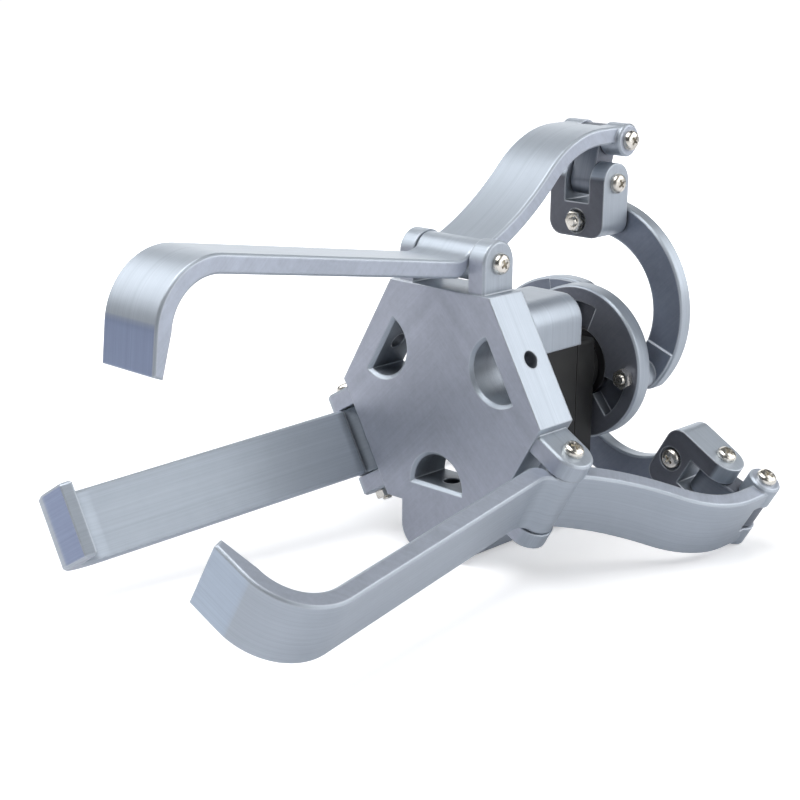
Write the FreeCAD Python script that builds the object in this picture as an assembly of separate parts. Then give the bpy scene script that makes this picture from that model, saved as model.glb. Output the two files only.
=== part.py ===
import FreeCAD, Part
import math
import os

from FreeCAD import Rotation, Vector

# Three-fingered claw gripper. Lengths are in millimetres.
# The main axis runs along Y: fingertips towards -Y, actuator towards +Y. Z is up.
# Y = 0 is the middle plane of the palm, where the fingers turn.
# Pieces are drawn about the main axis and lifted at the end, so that the foot rests on Z = 0.
# Finger 1 points up. Its own directions are: out = +Z, side = +X, rear = +Y.

FINGER_COUNT = 3
FINGER_PITCH = 360.0 / FINGER_COUNT
HEAD_SIDES = (1, 1, -1)          # side of each finger on which its cross screws have their heads
FRONT_HEADS = (False, False, True)   # whether the slide block's long screw has its head in front

# Running fits and gaps
PIN_FIT = 0.05                   # radial gap of a turning or passing hole round a screw
SIDE_GAP = 0.4                   # gap beside a moving piece
SLIDE_GAP = 0.7                  # gap in front of and behind a curved link at the slide block
FACE_GAP = 0.3                   # gap between other moving faces
EDGE = 0.6                       # small bevel on printed edges
NEAR = 1e-4                      # two places this close are the same

# Screws, nuts and washers
SCREW_RADIUS = 1.5
HEAD_RADIUS = 3.0
HEAD_HEIGHT = 2.1
HEAD_SLOPE = 0.38                # bevelled share of a head's height
NUT_ACROSS = 5.5
NUT_HEIGHT = 2.4
SCREW_OVERRUN = 0.9              # thread that stands out past a nut
WASHER_RADIUS = 3.75
WASHER_THICKNESS = 0.5
HOLE_RADIUS = SCREW_RADIUS + PIN_FIT

# Servo
SERVO_WIDTH = 20.0
SERVO_LENGTH = 40.0
SERVO_DEPTH = 37.0
SERVO_STANDOFF = 9.0             # between the palm and the servo
SERVO_SHAFT_INSET = 10.0         # shaft axis from the case's near end
SERVO_LOWER_COVER = 7.5
SERVO_TOP_COVER = 9.0
SERVO_CORNER = 1.2
COVER_SEAM = 0.4                 # width and depth of the groove between two case parts
FLANGE_FRONT = 25.5              # from the servo's front to its flange
FLANGE_REACH = 7.3               # beyond each end of the case
FLANGE_THICKNESS = 2.5
FLANGE_HOLE_INSET = 3.3          # from the flange's end
FLANGE_HOLE_SIDE = 5.0
SERVO_BOSS_RADIUS = 9.8
SERVO_BOSS_HEIGHT = 2.0
CASE_SCREW_INSET = 2.6
SMALL_SCREW_RADIUS = 1.0         # case screws and horn screws
SMALL_HEAD_RADIUS = 1.9
SMALL_HEAD_HEIGHT = 1.3
CASE_SCREW_BITE = 4.5            # length of a case screw inside the top cover
FLANGE_SCREW_RADIUS = 1.4
FLANGE_SCREW_LENGTH = 10.0
SERVO_MIDDLE = SERVO_SHAFT_INSET - SERVO_LENGTH / 2

# Posts above and below the servo that carry it; the lower one is the foot
POST_HALF_WIDTH = 13.2
POST_GAP = 0.5                   # between a post and the servo's end
POST_DEPTH = 14.6
POST_CORNER = 7.5                # radius of a post's outer corners
POST_INNER = SERVO_LENGTH / 2 + POST_GAP

# Palm plate
PALM_THICKNESS = 14.0
PALM_FINGER_APOTHEM = 32.7       # centre to the side that carries a finger
FOOT_OVERLAP = 1.8               # depth of the foot that lies behind the palm
PALM_FREE_APOTHEM = POST_INNER - SERVO_MIDDLE + FOOT_OVERLAP     # centre to a free side
WINDOW_WALL = 7.0                # wall between a window and its free side
WINDOW_RADIUS = 9.2
WINDOW_LIP = 1.0
SIDE_BORE_RADIUS = 2.5
PALM_FRONT = -PALM_THICKNESS / 2
PALM_REAR = PALM_THICKNESS / 2
FREE_TURNS = (60.0, 180.0, 300.0)    # turn from finger 1 to each free side

# Planes of the servo along the main axis
SERVO_FRONT = PALM_REAR + SERVO_STANDOFF
SERVO_REAR = SERVO_FRONT + SERVO_DEPTH
BOSS_REAR = SERVO_REAR + SERVO_BOSS_HEIGHT
POST_REAR = SERVO_FRONT + FLANGE_FRONT

# Rotor
ROTOR_RADIUS = 24.0
ROTOR_THICKNESS = 6.0
ROTOR_GAP = 1.4                  # between the servo's boss and the rotor
POCKET_DEPTH = 4.0
POCKET_BORE = 11.3
POCKET_OUT = 19.2
POCKET_SPAN = 38.0               # width of each lobe of the pocket, degrees
POCKET_LAG = 27.0                # lobe's middle behind its rotor pin, degrees
PIN_CIRCLE_RADIUS = 19.0
PIN_LAG = 95.0                   # rotor pin behind its finger, degrees clockwise from the front
ROTOR_FRONT = BOSS_REAR + ROTOR_GAP
ROTOR_REAR = ROTOR_FRONT + ROTOR_THICKNESS
POCKET_FLOOR = ROTOR_FRONT + POCKET_DEPTH

# Output shaft, horn and their screws
SHAFT_RADIUS = 2.95
SHAFT_SINK = 4.0                 # length of the shaft inside the case
SHAFT_SHORT = 0.4                # shaft's end below the horn's rear face
HORN_RADIUS = 10.6
HORN_THICKNESS = 2.4
HORN_HUB_RADIUS = 4.6
HORN_CIRCLE_RADIUS = 7.6         # circle of the horn screws
HORN_SCREW_COUNT = 4
HORN_SCREW_START = 45.0          # first horn screw from the side direction, degrees
CENTRE_SCREW_LENGTH = 7.0
CENTRE_HOLE_RADIUS = 3.4
HORN_REAR = POCKET_FLOOR
HORN_FRONT = HORN_REAR - HORN_THICKNESS
SHAFT_REAR = HORN_REAR - SHAFT_SHORT

# Slide block, which turns about its cross screw
BLOCK_WIDTH = 20.0
BLOCK_DEPTH = 12.0
BLOCK_STEP = 3.6                 # its rear face behind the rotor's
BLOCK_CORNER = 4.5
BLOCK_END = 4.7                  # from its long screw to its inner end
PIN_SPACING = 11.7               # from its long screw out to its cross screw
SLOT_ROOM = 1.8                  # between the short link's end and the floor of the fork's slot
RECESS_RADIUS = 3.6
RECESS_DEPTH = 1.0
BLOCK_REAR = ROTOR_REAR + BLOCK_STEP
BLOCK_FRONT = BLOCK_REAR - BLOCK_DEPTH
FORK_PIN_REAR = BLOCK_REAR - BLOCK_DEPTH / 2

# Short link between a finger and its slide block
SHORT_LINK_WIDTH = 8.2
SHORT_LINK_RADIUS = 4.2
LINK_DROP = 12.6                 # from the rear hinge in to the cross screw
LINK_LEAD = 3.5                  # from the cross screw back to the rear hinge
LINK_SWING = 66.0                # least angle between the short link and the finger's arm

# Finger
FINGER_WIDTH = 20.0
FINGER_THICKNESS = 5.0
HUB_STANDOFF = 8.1               # hub axis from the palm's side
HUB_RADIUS = 5.8
HUB_PROUD = 0.6                  # hub beyond the strip's inner face
STRIP_SPLAY = 9.0                # the straight strip leans outwards towards the tip, degrees
STRIP_LENGTH = 93.0
ROOT_ROUND = 5.0                 # rounded inner end of the strip at the hub
ROOT_FILLET = 6.5                # hollow curve from the strip's outer face to the hub
HOOK_RADIUS = 18.0               # outer face
HOOK_TURN = 93.0
TIP_LENGTH = 10.2
TIP_THICKNESS = 3.1
TIP_BEVEL = 0.9
ARM_LEAVE = 62.5                 # where the rear arm leaves the hub, degrees from the rear
SWEEP_RADIUS = 88.9              # hollow outer face between the hub and the crest
CREST_RADIUS = 35.0              # rounded outer face of the crest
CREST_LEAD = 10.5                # crest of the rear arm to the rear hinge
KNUCKLE_OUT = 68.6               # rear hinge from the main axis
KNUCKLE_RADIUS = 4.9
KNUCKLE_PROUD = 0.7              # knuckles beyond the rear arm's outer face
KNUCKLE_WIDTH = 23.0
HUB_OUT = PALM_FINGER_APOTHEM + HUB_STANDOFF
STRIP_OFFSET = HUB_RADIUS - HUB_PROUD    # hub axis to the strip's inner face
KNUCKLE_REAR = FORK_PIN_REAR + LINK_LEAD
FORK_PIN_OUT = KNUCKLE_OUT - LINK_DROP
FORK_FLOOR = FORK_PIN_OUT - SHORT_LINK_RADIUS - SLOT_ROOM
DRIVE_PIN_OUT = FORK_PIN_OUT - PIN_SPACING
BLOCK_INNER = DRIVE_PIN_OUT - BLOCK_END

# Ears of the palm that hold a finger's hub
EAR_THICKNESS = 5.6
EAR_RADIUS = 6.3
EAR_INNER = FINGER_WIDTH / 2 + SIDE_GAP
EAR_OUTER = EAR_INNER + EAR_THICKNESS

# Curved link
CURVED_LINK_THICKNESS = 5.0
CURVED_LINK_WIDTH = 10.8
CURVED_LINK_BULGE = 15.05        # its centre line beside the straight line between its holes
LINK_PAD_HEIGHT = 0.7            # thicker end at the rotor
LINK_PAD_TURN = 21.0             # length of the thicker end, degrees about the bend's centre
LINK_BOSS_RADIUS = 4.4
OPEN_HOLE_RADIUS = 2.7           # roomy hole for the slide block's long screw
OPEN_HOLE_SIDE = 0.8             # this hole's centre beside the screw at rest
LINK_FRONT = BLOCK_REAR + SLIDE_GAP
LINK_REAR = LINK_FRONT + CURVED_LINK_THICKNESS

# The foot is as deep as the lower fingers' rear knuckles hang down, and a little more
FOOT_CLEARANCE = 0.25
HANG = math.radians(180 - FINGER_PITCH)
KNUCKLE_DROP = ((KNUCKLE_OUT + KNUCKLE_RADIUS - EDGE) * math.cos(HANG)
                + KNUCKLE_WIDTH / 2 * math.sin(HANG))
AXIS_HEIGHT = KNUCKLE_DROP + FOOT_CLEARANCE
FOOT_DEPTH = AXIS_HEIGHT + SERVO_MIDDLE - POST_INNER

OUT = Vector(0, 0, 1)
SIDE = Vector(1, 0, 0)
REAR = Vector(0, 1, 0)
FRONT = Vector(0, -1, 0)
ORIGIN = Vector(0, 0, 0)


def polar(radius, degrees):
    """Point of a circle about the origin, as (across, up)."""
    angle = math.radians(degrees)
    return radius * math.cos(angle), radius * math.sin(angle)


def block_shape(x_range, y_range, z_range):
    """Box between two limits along each axis."""
    size = [high - low for low, high in (x_range, y_range, z_range)]
    return Part.makeBox(*size, Vector(x_range[0], y_range[0], z_range[0]))


def rod(start, direction, length, radius):
    """Round rod from a start point."""
    return Part.makeCylinder(radius, length, start, direction)


def across(rear, out, half_width, radius):
    """Round rod through (rear, out), across the finger's whole width."""
    return rod(Vector(-half_width, rear, out), SIDE, 2 * half_width, radius)


def side_profile(edges, half_width):
    """Solid from edges drawn in the plane X = 0, spread evenly to both sides."""
    face = Part.Face(Part.Wire(Part.__sortEdges__(edges)))
    face.translate(Vector(-half_width, 0, 0))
    return face.extrude(Vector(2 * half_width, 0, 0))


def outline_prism(edges, start, length):
    """Solid from edges drawn in the plane Y = 0, from Y = start to the rear."""
    face = Part.Face(Part.Wire(Part.__sortEdges__(edges)))
    face.translate(Vector(0, start, 0))
    return face.extrude(Vector(0, length, 0))


def polyline(points):
    """Straight edges through the points, closed."""
    closed = list(points) + [points[0]]
    return [Part.LineSegment(a, b).toShape() for a, b in zip(closed, closed[1:])]


def line(start, end):
    return Part.LineSegment(start, end).toShape()


def arc(start, middle, end):
    return Part.Arc(start, middle, end).toShape()


def turned(shape, degrees):
    """Copy turned about the main axis, counter-clockwise seen from the front."""
    copy = shape.copy()
    copy.rotate(ORIGIN, FRONT, degrees)
    return copy


def fused(first, *others):
    return first.fuse(list(others)).removeSplitter() if others else first


def bevelled(shape, size, wanted):
    """The shape with a bevel on each edge that passes the test."""
    edges = [edge for edge in shape.Edges if wanted(edge)]
    return shape.makeChamfer(size, edges)


def in_plane(edge, axis, value):
    """Whether an edge lies in the plane where the coordinate has this value."""
    box = edge.BoundBox
    low, high = {"x": (box.XMin, box.XMax), "y": (box.YMin, box.YMax)}[axis]
    return abs(low - value) < NEAR and abs(high - value) < NEAR


def screw(seat, direction, length, radius=SCREW_RADIUS, head_radius=HEAD_RADIUS,
          head_height=HEAD_HEIGHT):
    """Pan-headed screw: its head stands on the seat, its shank goes along the direction."""
    slope = HEAD_SLOPE * head_height
    shoulder = seat - direction * (head_height - slope)
    crown = Part.makeCone(head_radius, head_radius - slope, slope, shoulder, -direction)
    head = rod(seat, -direction, head_height - slope, head_radius)
    return fused(head, crown, rod(seat, direction, length, radius))


def nut(seat, direction):
    """Hexagon nut that stands on the seat and rises along the direction."""
    corner = NUT_ACROSS / 2 / math.cos(math.radians(30))
    points = [Vector(*polar(corner, 60 * turn), 0) for turn in range(6)]
    prism = Part.Face(Part.makePolygon(points + points[:1])).extrude(Vector(0, 0, NUT_HEIGHT))
    prism = prism.cut(rod(ORIGIN, OUT, NUT_HEIGHT, HOLE_RADIUS))
    prism.Placement = FreeCAD.Placement(seat, Rotation(OUT, direction))
    return prism


def washer(seat, direction):
    ring = rod(seat, direction, WASHER_THICKNESS, WASHER_RADIUS)
    return ring.cut(rod(seat, direction, WASHER_THICKNESS, HOLE_RADIUS))


def palm_outline():
    """Corner points of the palm's hexagon."""
    step = math.radians(60)
    reach = (PALM_FREE_APOTHEM - PALM_FINGER_APOTHEM * math.cos(step)) / math.sin(step)
    corners = []
    for finger in range(FINGER_COUNT):
        spin = Rotation(FRONT, FINGER_PITCH * finger)
        for sign in (1, -1):
            corners.append(spin.multVec(Vector(sign * reach, 0, PALM_FINGER_APOTHEM)))
    return corners


def window():
    """Half-round window under a free side that lies above; its flat faces outwards."""
    flat = PALM_FREE_APOTHEM - WINDOW_WALL
    left = Vector(-WINDOW_RADIUS, 0, flat)
    right = Vector(WINDOW_RADIUS, 0, flat)
    half_round = [line(left, right), arc(right, Vector(0, 0, flat - WINDOW_RADIUS), left)]
    return outline_prism(half_round, PALM_FRONT, PALM_THICKNESS)


def ears():
    """The two ears for finger 1's hub, with the hole for its hub screw."""
    root = PALM_FINGER_APOTHEM - EAR_RADIUS
    edges = [line(Vector(0, -EAR_RADIUS, root), Vector(0, -EAR_RADIUS, HUB_OUT)),
             arc(Vector(0, -EAR_RADIUS, HUB_OUT), Vector(0, 0, HUB_OUT + EAR_RADIUS),
                 Vector(0, EAR_RADIUS, HUB_OUT)),
             line(Vector(0, EAR_RADIUS, HUB_OUT), Vector(0, EAR_RADIUS, root)),
             line(Vector(0, EAR_RADIUS, root), Vector(0, -EAR_RADIUS, root))]
    pair = side_profile(edges, EAR_OUTER)
    pair = bevelled(pair, EDGE, lambda edge: (in_plane(edge, "x", EAR_OUTER)
                                              or in_plane(edge, "x", -EAR_OUTER))
                    and edge.BoundBox.ZMax > HUB_OUT - EDGE)
    gap = block_shape((-EAR_INNER, EAR_INNER), (-PALM_THICKNESS, PALM_THICKNESS),
                      (PALM_FINGER_APOTHEM, HUB_OUT + 2 * EAR_RADIUS))
    return pair.cut([gap, across(0, HUB_OUT, EAR_OUTER, HOLE_RADIUS)])


def post(start, depth):
    """Post above the servo, from Y = start to the servo's flange, about the servo's middle."""
    wide = POST_HALF_WIDTH
    outer = POST_INNER + depth
    flat = wide - POST_CORNER
    shoulder = outer - POST_CORNER
    slant = POST_CORNER * math.sqrt(0.5)
    edges = [line(Vector(-flat, 0, outer), Vector(flat, 0, outer)),
             line(Vector(-wide, 0, POST_INNER), Vector(wide, 0, POST_INNER))]
    for side in (-1, 1):
        edges += [line(Vector(side * wide, 0, POST_INNER), Vector(side * wide, 0, shoulder)),
                  arc(Vector(side * wide, 0, shoulder),
                      Vector(side * (flat + slant), 0, shoulder + slant),
                      Vector(side * flat, 0, outer))]
    bar = outline_prism(edges, start, POST_REAR - start)
    hole_height = SERVO_LENGTH / 2 + FLANGE_REACH - FLANGE_HOLE_INSET
    holes = [rod(Vector(side * FLANGE_HOLE_SIDE, POST_REAR, hole_height), FRONT,
                 FLANGE_SCREW_LENGTH, FLANGE_SCREW_RADIUS + PIN_FIT) for side in (-1, 1)]
    return bar.cut(holes)


def about_servo_middle(shape, below):
    """Shape drawn about the servo's middle, moved to its place above or below the servo."""
    copy = shape.copy()
    if below:
        copy = copy.mirror(ORIGIN, OUT)
    copy.translate(Vector(0, 0, SERVO_MIDDLE))
    return copy


def side_bore(turn):
    """Round hole from a free side into its window; the lowest runs through the foot."""
    flat = PALM_FREE_APOTHEM - WINDOW_WALL
    reach = AXIS_HEIGHT - flat
    bore = rod(Vector(0, 0, flat), OUT, reach, SIDE_BORE_RADIUS)
    return turned(bore, turn)


def palm():
    """Hexagonal palm with ears, windows, side holes, both servo posts and the foot."""
    plate = outline_prism(polyline(palm_outline()), PALM_FRONT, PALM_THICKNESS)
    windows = [turned(window(), turn) for turn in FREE_TURNS]
    plate = plate.cut(windows)
    lips = [edge for edge in plate.Edges if in_plane(edge, "y", PALM_FRONT)
            and edge.CenterOfMass.Length < PALM_FREE_APOTHEM - WINDOW_WALL + WINDOW_LIP]
    plate = plate.makeChamfer(WINDOW_LIP, lips)
    ear_pairs = [turned(ears(), FINGER_PITCH * finger) for finger in range(FINGER_COUNT)]
    upper = about_servo_middle(post(PALM_REAR, POST_DEPTH), False)
    lower = about_servo_middle(post(PALM_FRONT, FOOT_DEPTH), True)
    body = fused(plate, *ear_pairs, upper, lower)
    return body.cut([side_bore(turn) for turn in FREE_TURNS])


def heading(degrees):
    """Direction in the finger's side plane: 0 is to the rear, 90 is outwards."""
    rear, out = polar(1.0, degrees)
    return Vector(0, rear, out)


def finger_front():
    """Straight strip and hook, from the hub to the tip."""
    hub = Vector(0, 0, HUB_OUT)
    along = heading(180 - STRIP_SPLAY)
    inwards = heading(270 - STRIP_SPLAY)
    inner = hub + inwards * STRIP_OFFSET
    outer = inner - inwards * FINGER_THICKNESS
    centre = outer + along * STRIP_LENGTH + inwards * HOOK_RADIUS

    # The strip's inner end is rounded; its outer face runs into the hub in a hollow curve.
    round_start = inner + along * (STRIP_OFFSET + ROOT_ROUND)
    round_centre = round_start - inwards * ROOT_ROUND
    round_middle = round_centre + (inwards - along).normalize() * ROOT_ROUND
    round_end = round_centre - along * ROOT_ROUND
    fillet_rise = ROOT_FILLET + FINGER_THICKNESS - STRIP_OFFSET
    fillet_reach = math.sqrt((HUB_RADIUS + ROOT_FILLET) ** 2 - fillet_rise ** 2)
    fillet_centre = hub + along * fillet_reach - inwards * fillet_rise
    to_hub = (hub - fillet_centre).normalize()
    fillet_start = fillet_centre + inwards * ROOT_FILLET
    fillet_middle = fillet_centre + (inwards + to_hub).normalize() * ROOT_FILLET
    fillet_end = fillet_centre + to_hub * ROOT_FILLET
    inner_radius = HOOK_RADIUS - FINGER_THICKNESS

    def on_hook(radius, turn):
        return centre + heading(90 - STRIP_SPLAY + turn) * radius

    onwards = heading(180 - STRIP_SPLAY + HOOK_TURN)
    across_tip = heading(270 - STRIP_SPLAY + HOOK_TURN)
    tip_outer = on_hook(HOOK_RADIUS, HOOK_TURN) + onwards * TIP_LENGTH
    tip_inner = tip_outer + across_tip * TIP_THICKNESS + onwards * TIP_BEVEL
    outer_arc = arc(on_hook(HOOK_RADIUS, 0), on_hook(HOOK_RADIUS, HOOK_TURN / 2),
                    on_hook(HOOK_RADIUS, HOOK_TURN))
    inner_arc = arc(on_hook(inner_radius, 0), on_hook(inner_radius, HOOK_TURN / 2),
                    on_hook(inner_radius, HOOK_TURN))
    edges = [line(fillet_start, on_hook(HOOK_RADIUS, 0)), outer_arc,
             line(on_hook(HOOK_RADIUS, HOOK_TURN), tip_outer), line(tip_outer, tip_inner),
             line(tip_inner, on_hook(inner_radius, HOOK_TURN)), inner_arc,
             line(on_hook(inner_radius, 0), round_start),
             arc(round_start, round_middle, round_end), line(round_end, fillet_end),
             arc(fillet_end, fillet_middle, fillet_start)]
    return side_profile(edges, FINGER_WIDTH / 2)


def finger_rear():
    """S-curved rear arm, from the hub to the rear hinge."""
    hub = Vector(0, 0, HUB_OUT)
    crest_out = KNUCKLE_OUT + KNUCKLE_RADIUS - KNUCKLE_PROUD
    crest_rear = KNUCKLE_REAR - CREST_LEAD
    centre = Vector(0, crest_rear, crest_out - CREST_RADIUS)
    inner_radius = CREST_RADIUS - FINGER_THICKNESS

    # The hollow curve passes through the arm's start on the hub and runs smoothly into the crest.
    start = hub + heading(ARM_LEAVE) * STRIP_OFFSET
    reach = start - centre
    span = reach.Length
    both = CREST_RADIUS + SWEEP_RADIUS
    share = (both ** 2 - SWEEP_RADIUS ** 2 + span ** 2) / (2 * span)
    beside = reach.cross(SIDE).normalize()
    if beside.z < 0:
        beside = -beside
    sweep_centre = (centre + reach.normalize() * share
                    + beside * math.sqrt(both ** 2 - share ** 2))
    to_sweep = sweep_centre - centre
    to_start = start - sweep_centre
    crest_turn = math.degrees(math.atan2(to_sweep.z, to_sweep.y)) - 90
    start_turn = math.degrees(math.atan2(to_start.z, to_start.y)) % 360
    end_turn = 270 + crest_turn

    def on_crest(radius, turn):
        return centre + heading(90 + turn) * radius

    def on_sweep(radius, turn):
        return sweep_centre + heading(turn) * radius

    middle_turn = (start_turn + end_turn) / 2
    inner_sweep = SWEEP_RADIUS + FINGER_THICKNESS
    hinge_top = Vector(0, KNUCKLE_REAR, crest_out)
    hinge_low = Vector(0, KNUCKLE_REAR, crest_out - FINGER_THICKNESS)
    bend = on_crest(CREST_RADIUS, crest_turn)
    inner_bend = on_crest(inner_radius, crest_turn)
    edges = [arc(start, on_sweep(SWEEP_RADIUS, middle_turn), bend),
             arc(bend, on_crest(CREST_RADIUS, crest_turn / 2), on_crest(CREST_RADIUS, 0)),
             line(on_crest(CREST_RADIUS, 0), hinge_top), line(hinge_top, hinge_low),
             line(hinge_low, on_crest(inner_radius, 0)),
             arc(on_crest(inner_radius, 0), on_crest(inner_radius, crest_turn / 2), inner_bend),
             arc(inner_bend, on_sweep(inner_sweep, middle_turn),
                 on_sweep(inner_sweep, start_turn)),
             line(on_sweep(inner_sweep, start_turn), start)]
    return side_profile(edges, FINGER_WIDTH / 2)


def finger():
    """One printed finger: strip and hook, hub, rear arm and rear hinge knuckles."""
    half = FINGER_WIDTH / 2

    def on_side(edge):
        return in_plane(edge, "x", half) or in_plane(edge, "x", -half)

    front = bevelled(finger_front(), EDGE, on_side)
    rear = bevelled(finger_rear(), EDGE, on_side)
    hub = across(0, HUB_OUT, half, HUB_RADIUS)
    knuckle = across(KNUCKLE_REAR, KNUCKLE_OUT, KNUCKLE_WIDTH / 2, KNUCKLE_RADIUS)
    knuckle = bevelled(knuckle, EDGE, lambda edge: in_plane(edge, "x", KNUCKLE_WIDTH / 2)
                       or in_plane(edge, "x", -KNUCKLE_WIDTH / 2))
    body = fused(hub, front, rear, knuckle)
    swing = math.radians(LINK_SWING)
    sink = FINGER_THICKNESS + KNUCKLE_PROUD - KNUCKLE_RADIUS
    notch = (SHORT_LINK_RADIUS + SIDE_GAP) / math.sin(swing) + sink / math.tan(swing)
    notch_half = SHORT_LINK_WIDTH / 2 + SIDE_GAP
    slot = block_shape((-notch_half, notch_half),
                       (KNUCKLE_REAR - notch, KNUCKLE_REAR + 2 * KNUCKLE_RADIUS),
                       (KNUCKLE_OUT - 2 * KNUCKLE_RADIUS, KNUCKLE_OUT + 2 * KNUCKLE_RADIUS))
    return body.cut([slot, across(0, HUB_OUT, half, HOLE_RADIUS),
                     across(KNUCKLE_REAR, KNUCKLE_OUT, KNUCKLE_WIDTH / 2, HOLE_RADIUS)])


def short_link():
    """Flat link with two round ends, between a finger's knuckles and its slide block's fork."""
    half = SHORT_LINK_WIDTH / 2
    upper = Vector(0, KNUCKLE_REAR, KNUCKLE_OUT)
    lower = Vector(0, FORK_PIN_REAR, FORK_PIN_OUT)
    along = (lower - upper).normalize()
    beside = along.cross(SIDE) * SHORT_LINK_RADIUS
    round_end = along * SHORT_LINK_RADIUS
    edges = [line(upper + beside, lower + beside),
             arc(lower + beside, lower + round_end, lower - beside),
             line(lower - beside, upper - beside),
             arc(upper - beside, upper - round_end, upper + beside)]
    body = side_profile(edges, half)
    body = bevelled(body, EDGE / 2, lambda edge: in_plane(edge, "x", half)
                    or in_plane(edge, "x", -half))
    return body.cut([across(KNUCKLE_REAR, KNUCKLE_OUT, half, HOLE_RADIUS),
                     across(FORK_PIN_REAR, FORK_PIN_OUT, half, HOLE_RADIUS)])


def slide_block():
    """Forked block with rounded inner corners and a round-topped fork."""
    half = BLOCK_WIDTH / 2
    top = FORK_PIN_OUT
    corner = BLOCK_CORNER
    slant = corner * (1 - math.sqrt(0.5))
    edges = [line(Vector(-half, 0, top), Vector(half, 0, top)),
             line(Vector(half, 0, top), Vector(half, 0, BLOCK_INNER + corner)),
             arc(Vector(half, 0, BLOCK_INNER + corner),
                 Vector(half - slant, 0, BLOCK_INNER + slant),
                 Vector(half - corner, 0, BLOCK_INNER)),
             line(Vector(half - corner, 0, BLOCK_INNER), Vector(corner - half, 0, BLOCK_INNER)),
             arc(Vector(corner - half, 0, BLOCK_INNER),
                 Vector(slant - half, 0, BLOCK_INNER + slant),
                 Vector(-half, 0, BLOCK_INNER + corner)),
             line(Vector(-half, 0, BLOCK_INNER + corner), Vector(-half, 0, top))]
    body = outline_prism(edges, BLOCK_FRONT, BLOCK_DEPTH)
    body = fused(body, across(FORK_PIN_REAR, FORK_PIN_OUT, half, BLOCK_DEPTH / 2))
    slot_half = SHORT_LINK_WIDTH / 2 + SIDE_GAP
    slot = block_shape((-slot_half, slot_half), (BLOCK_FRONT, BLOCK_REAR),
                       (FORK_FLOOR, FORK_PIN_OUT + BLOCK_DEPTH))
    drive = Vector(0, BLOCK_FRONT, DRIVE_PIN_OUT)
    return body.cut([slot, across(FORK_PIN_REAR, FORK_PIN_OUT, half, HOLE_RADIUS),
                     rod(drive, REAR, BLOCK_DEPTH, HOLE_RADIUS),
                     rod(drive, REAR, RECESS_DEPTH, RECESS_RADIUS)])


def rotor_pin_place():
    """Place of finger 1's rotor pin, seen along the main axis."""
    return Vector(PIN_CIRCLE_RADIUS * math.sin(math.radians(PIN_LAG)), 0,
                  PIN_CIRCLE_RADIUS * math.cos(math.radians(PIN_LAG)))


def curved_link():
    """Curved link from finger 1's rotor pin to its slide block, bulging clockwise."""
    pin = rotor_pin_place()
    hole = Vector(OPEN_HOLE_SIDE, 0, DRIVE_PIN_OUT)
    chord = hole - pin
    half_chord = chord.Length / 2
    bend_radius = (half_chord ** 2 + CURVED_LINK_BULGE ** 2) / (2 * CURVED_LINK_BULGE)
    inwards = chord.cross(REAR).normalize()
    if inwards.x > 0:
        inwards = -inwards
    centre = (pin + hole) * 0.5 + inwards * (bend_radius - CURVED_LINK_BULGE)
    half = CURVED_LINK_WIDTH / 2

    def band(inner_radius, outer_radius, first, last):
        middle = (first + last).normalize() if first.dot(last) > 0 else -inwards
        return [arc(centre + first * outer_radius, centre + middle * outer_radius,
                    centre + last * outer_radius),
                line(centre + last * outer_radius, centre + last * inner_radius),
                arc(centre + last * inner_radius, centre + middle * inner_radius,
                    centre + first * inner_radius),
                line(centre + first * inner_radius, centre + first * outer_radius)]

    to_pin = (pin - centre).normalize()
    to_hole = (hole - centre).normalize()
    inner_radius = bend_radius - half
    outer_radius = bend_radius + half
    strip = outline_prism(band(inner_radius, outer_radius, to_pin, to_hole), LINK_FRONT,
                          CURVED_LINK_THICKNESS)
    ends = [rod(Vector(place.x, LINK_FRONT, place.z), REAR, CURVED_LINK_THICKNESS, half)
            for place in (pin, hole)]
    body = fused(strip, *ends)
    body = bevelled(body, EDGE, lambda edge: in_plane(edge, "y", LINK_FRONT)
                    or in_plane(edge, "y", LINK_REAR))
    seam = Rotation(FRONT, LINK_PAD_TURN).multVec(to_pin)
    pad_band = band(inner_radius + EDGE, outer_radius - EDGE, to_pin, seam)
    pad = outline_prism(pad_band, LINK_FRONT - LINK_PAD_HEIGHT, LINK_PAD_HEIGHT + EDGE)
    pad_end = rod(Vector(pin.x, LINK_FRONT - LINK_PAD_HEIGHT, pin.z), REAR,
                  LINK_PAD_HEIGHT + EDGE, half - EDGE)
    boss_front = ROTOR_REAR + FACE_GAP
    boss = rod(Vector(pin.x, boss_front, pin.z), REAR, LINK_FRONT - boss_front,
               LINK_BOSS_RADIUS)
    body = fused(body, pad, pad_end, boss)
    return body.cut([rod(Vector(pin.x, boss_front, pin.z), REAR, LINK_REAR - boss_front,
                         HOLE_RADIUS),
                     rod(Vector(hole.x, LINK_FRONT, hole.z), REAR, CURVED_LINK_THICKNESS,
                         OPEN_HOLE_RADIUS)])


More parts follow.
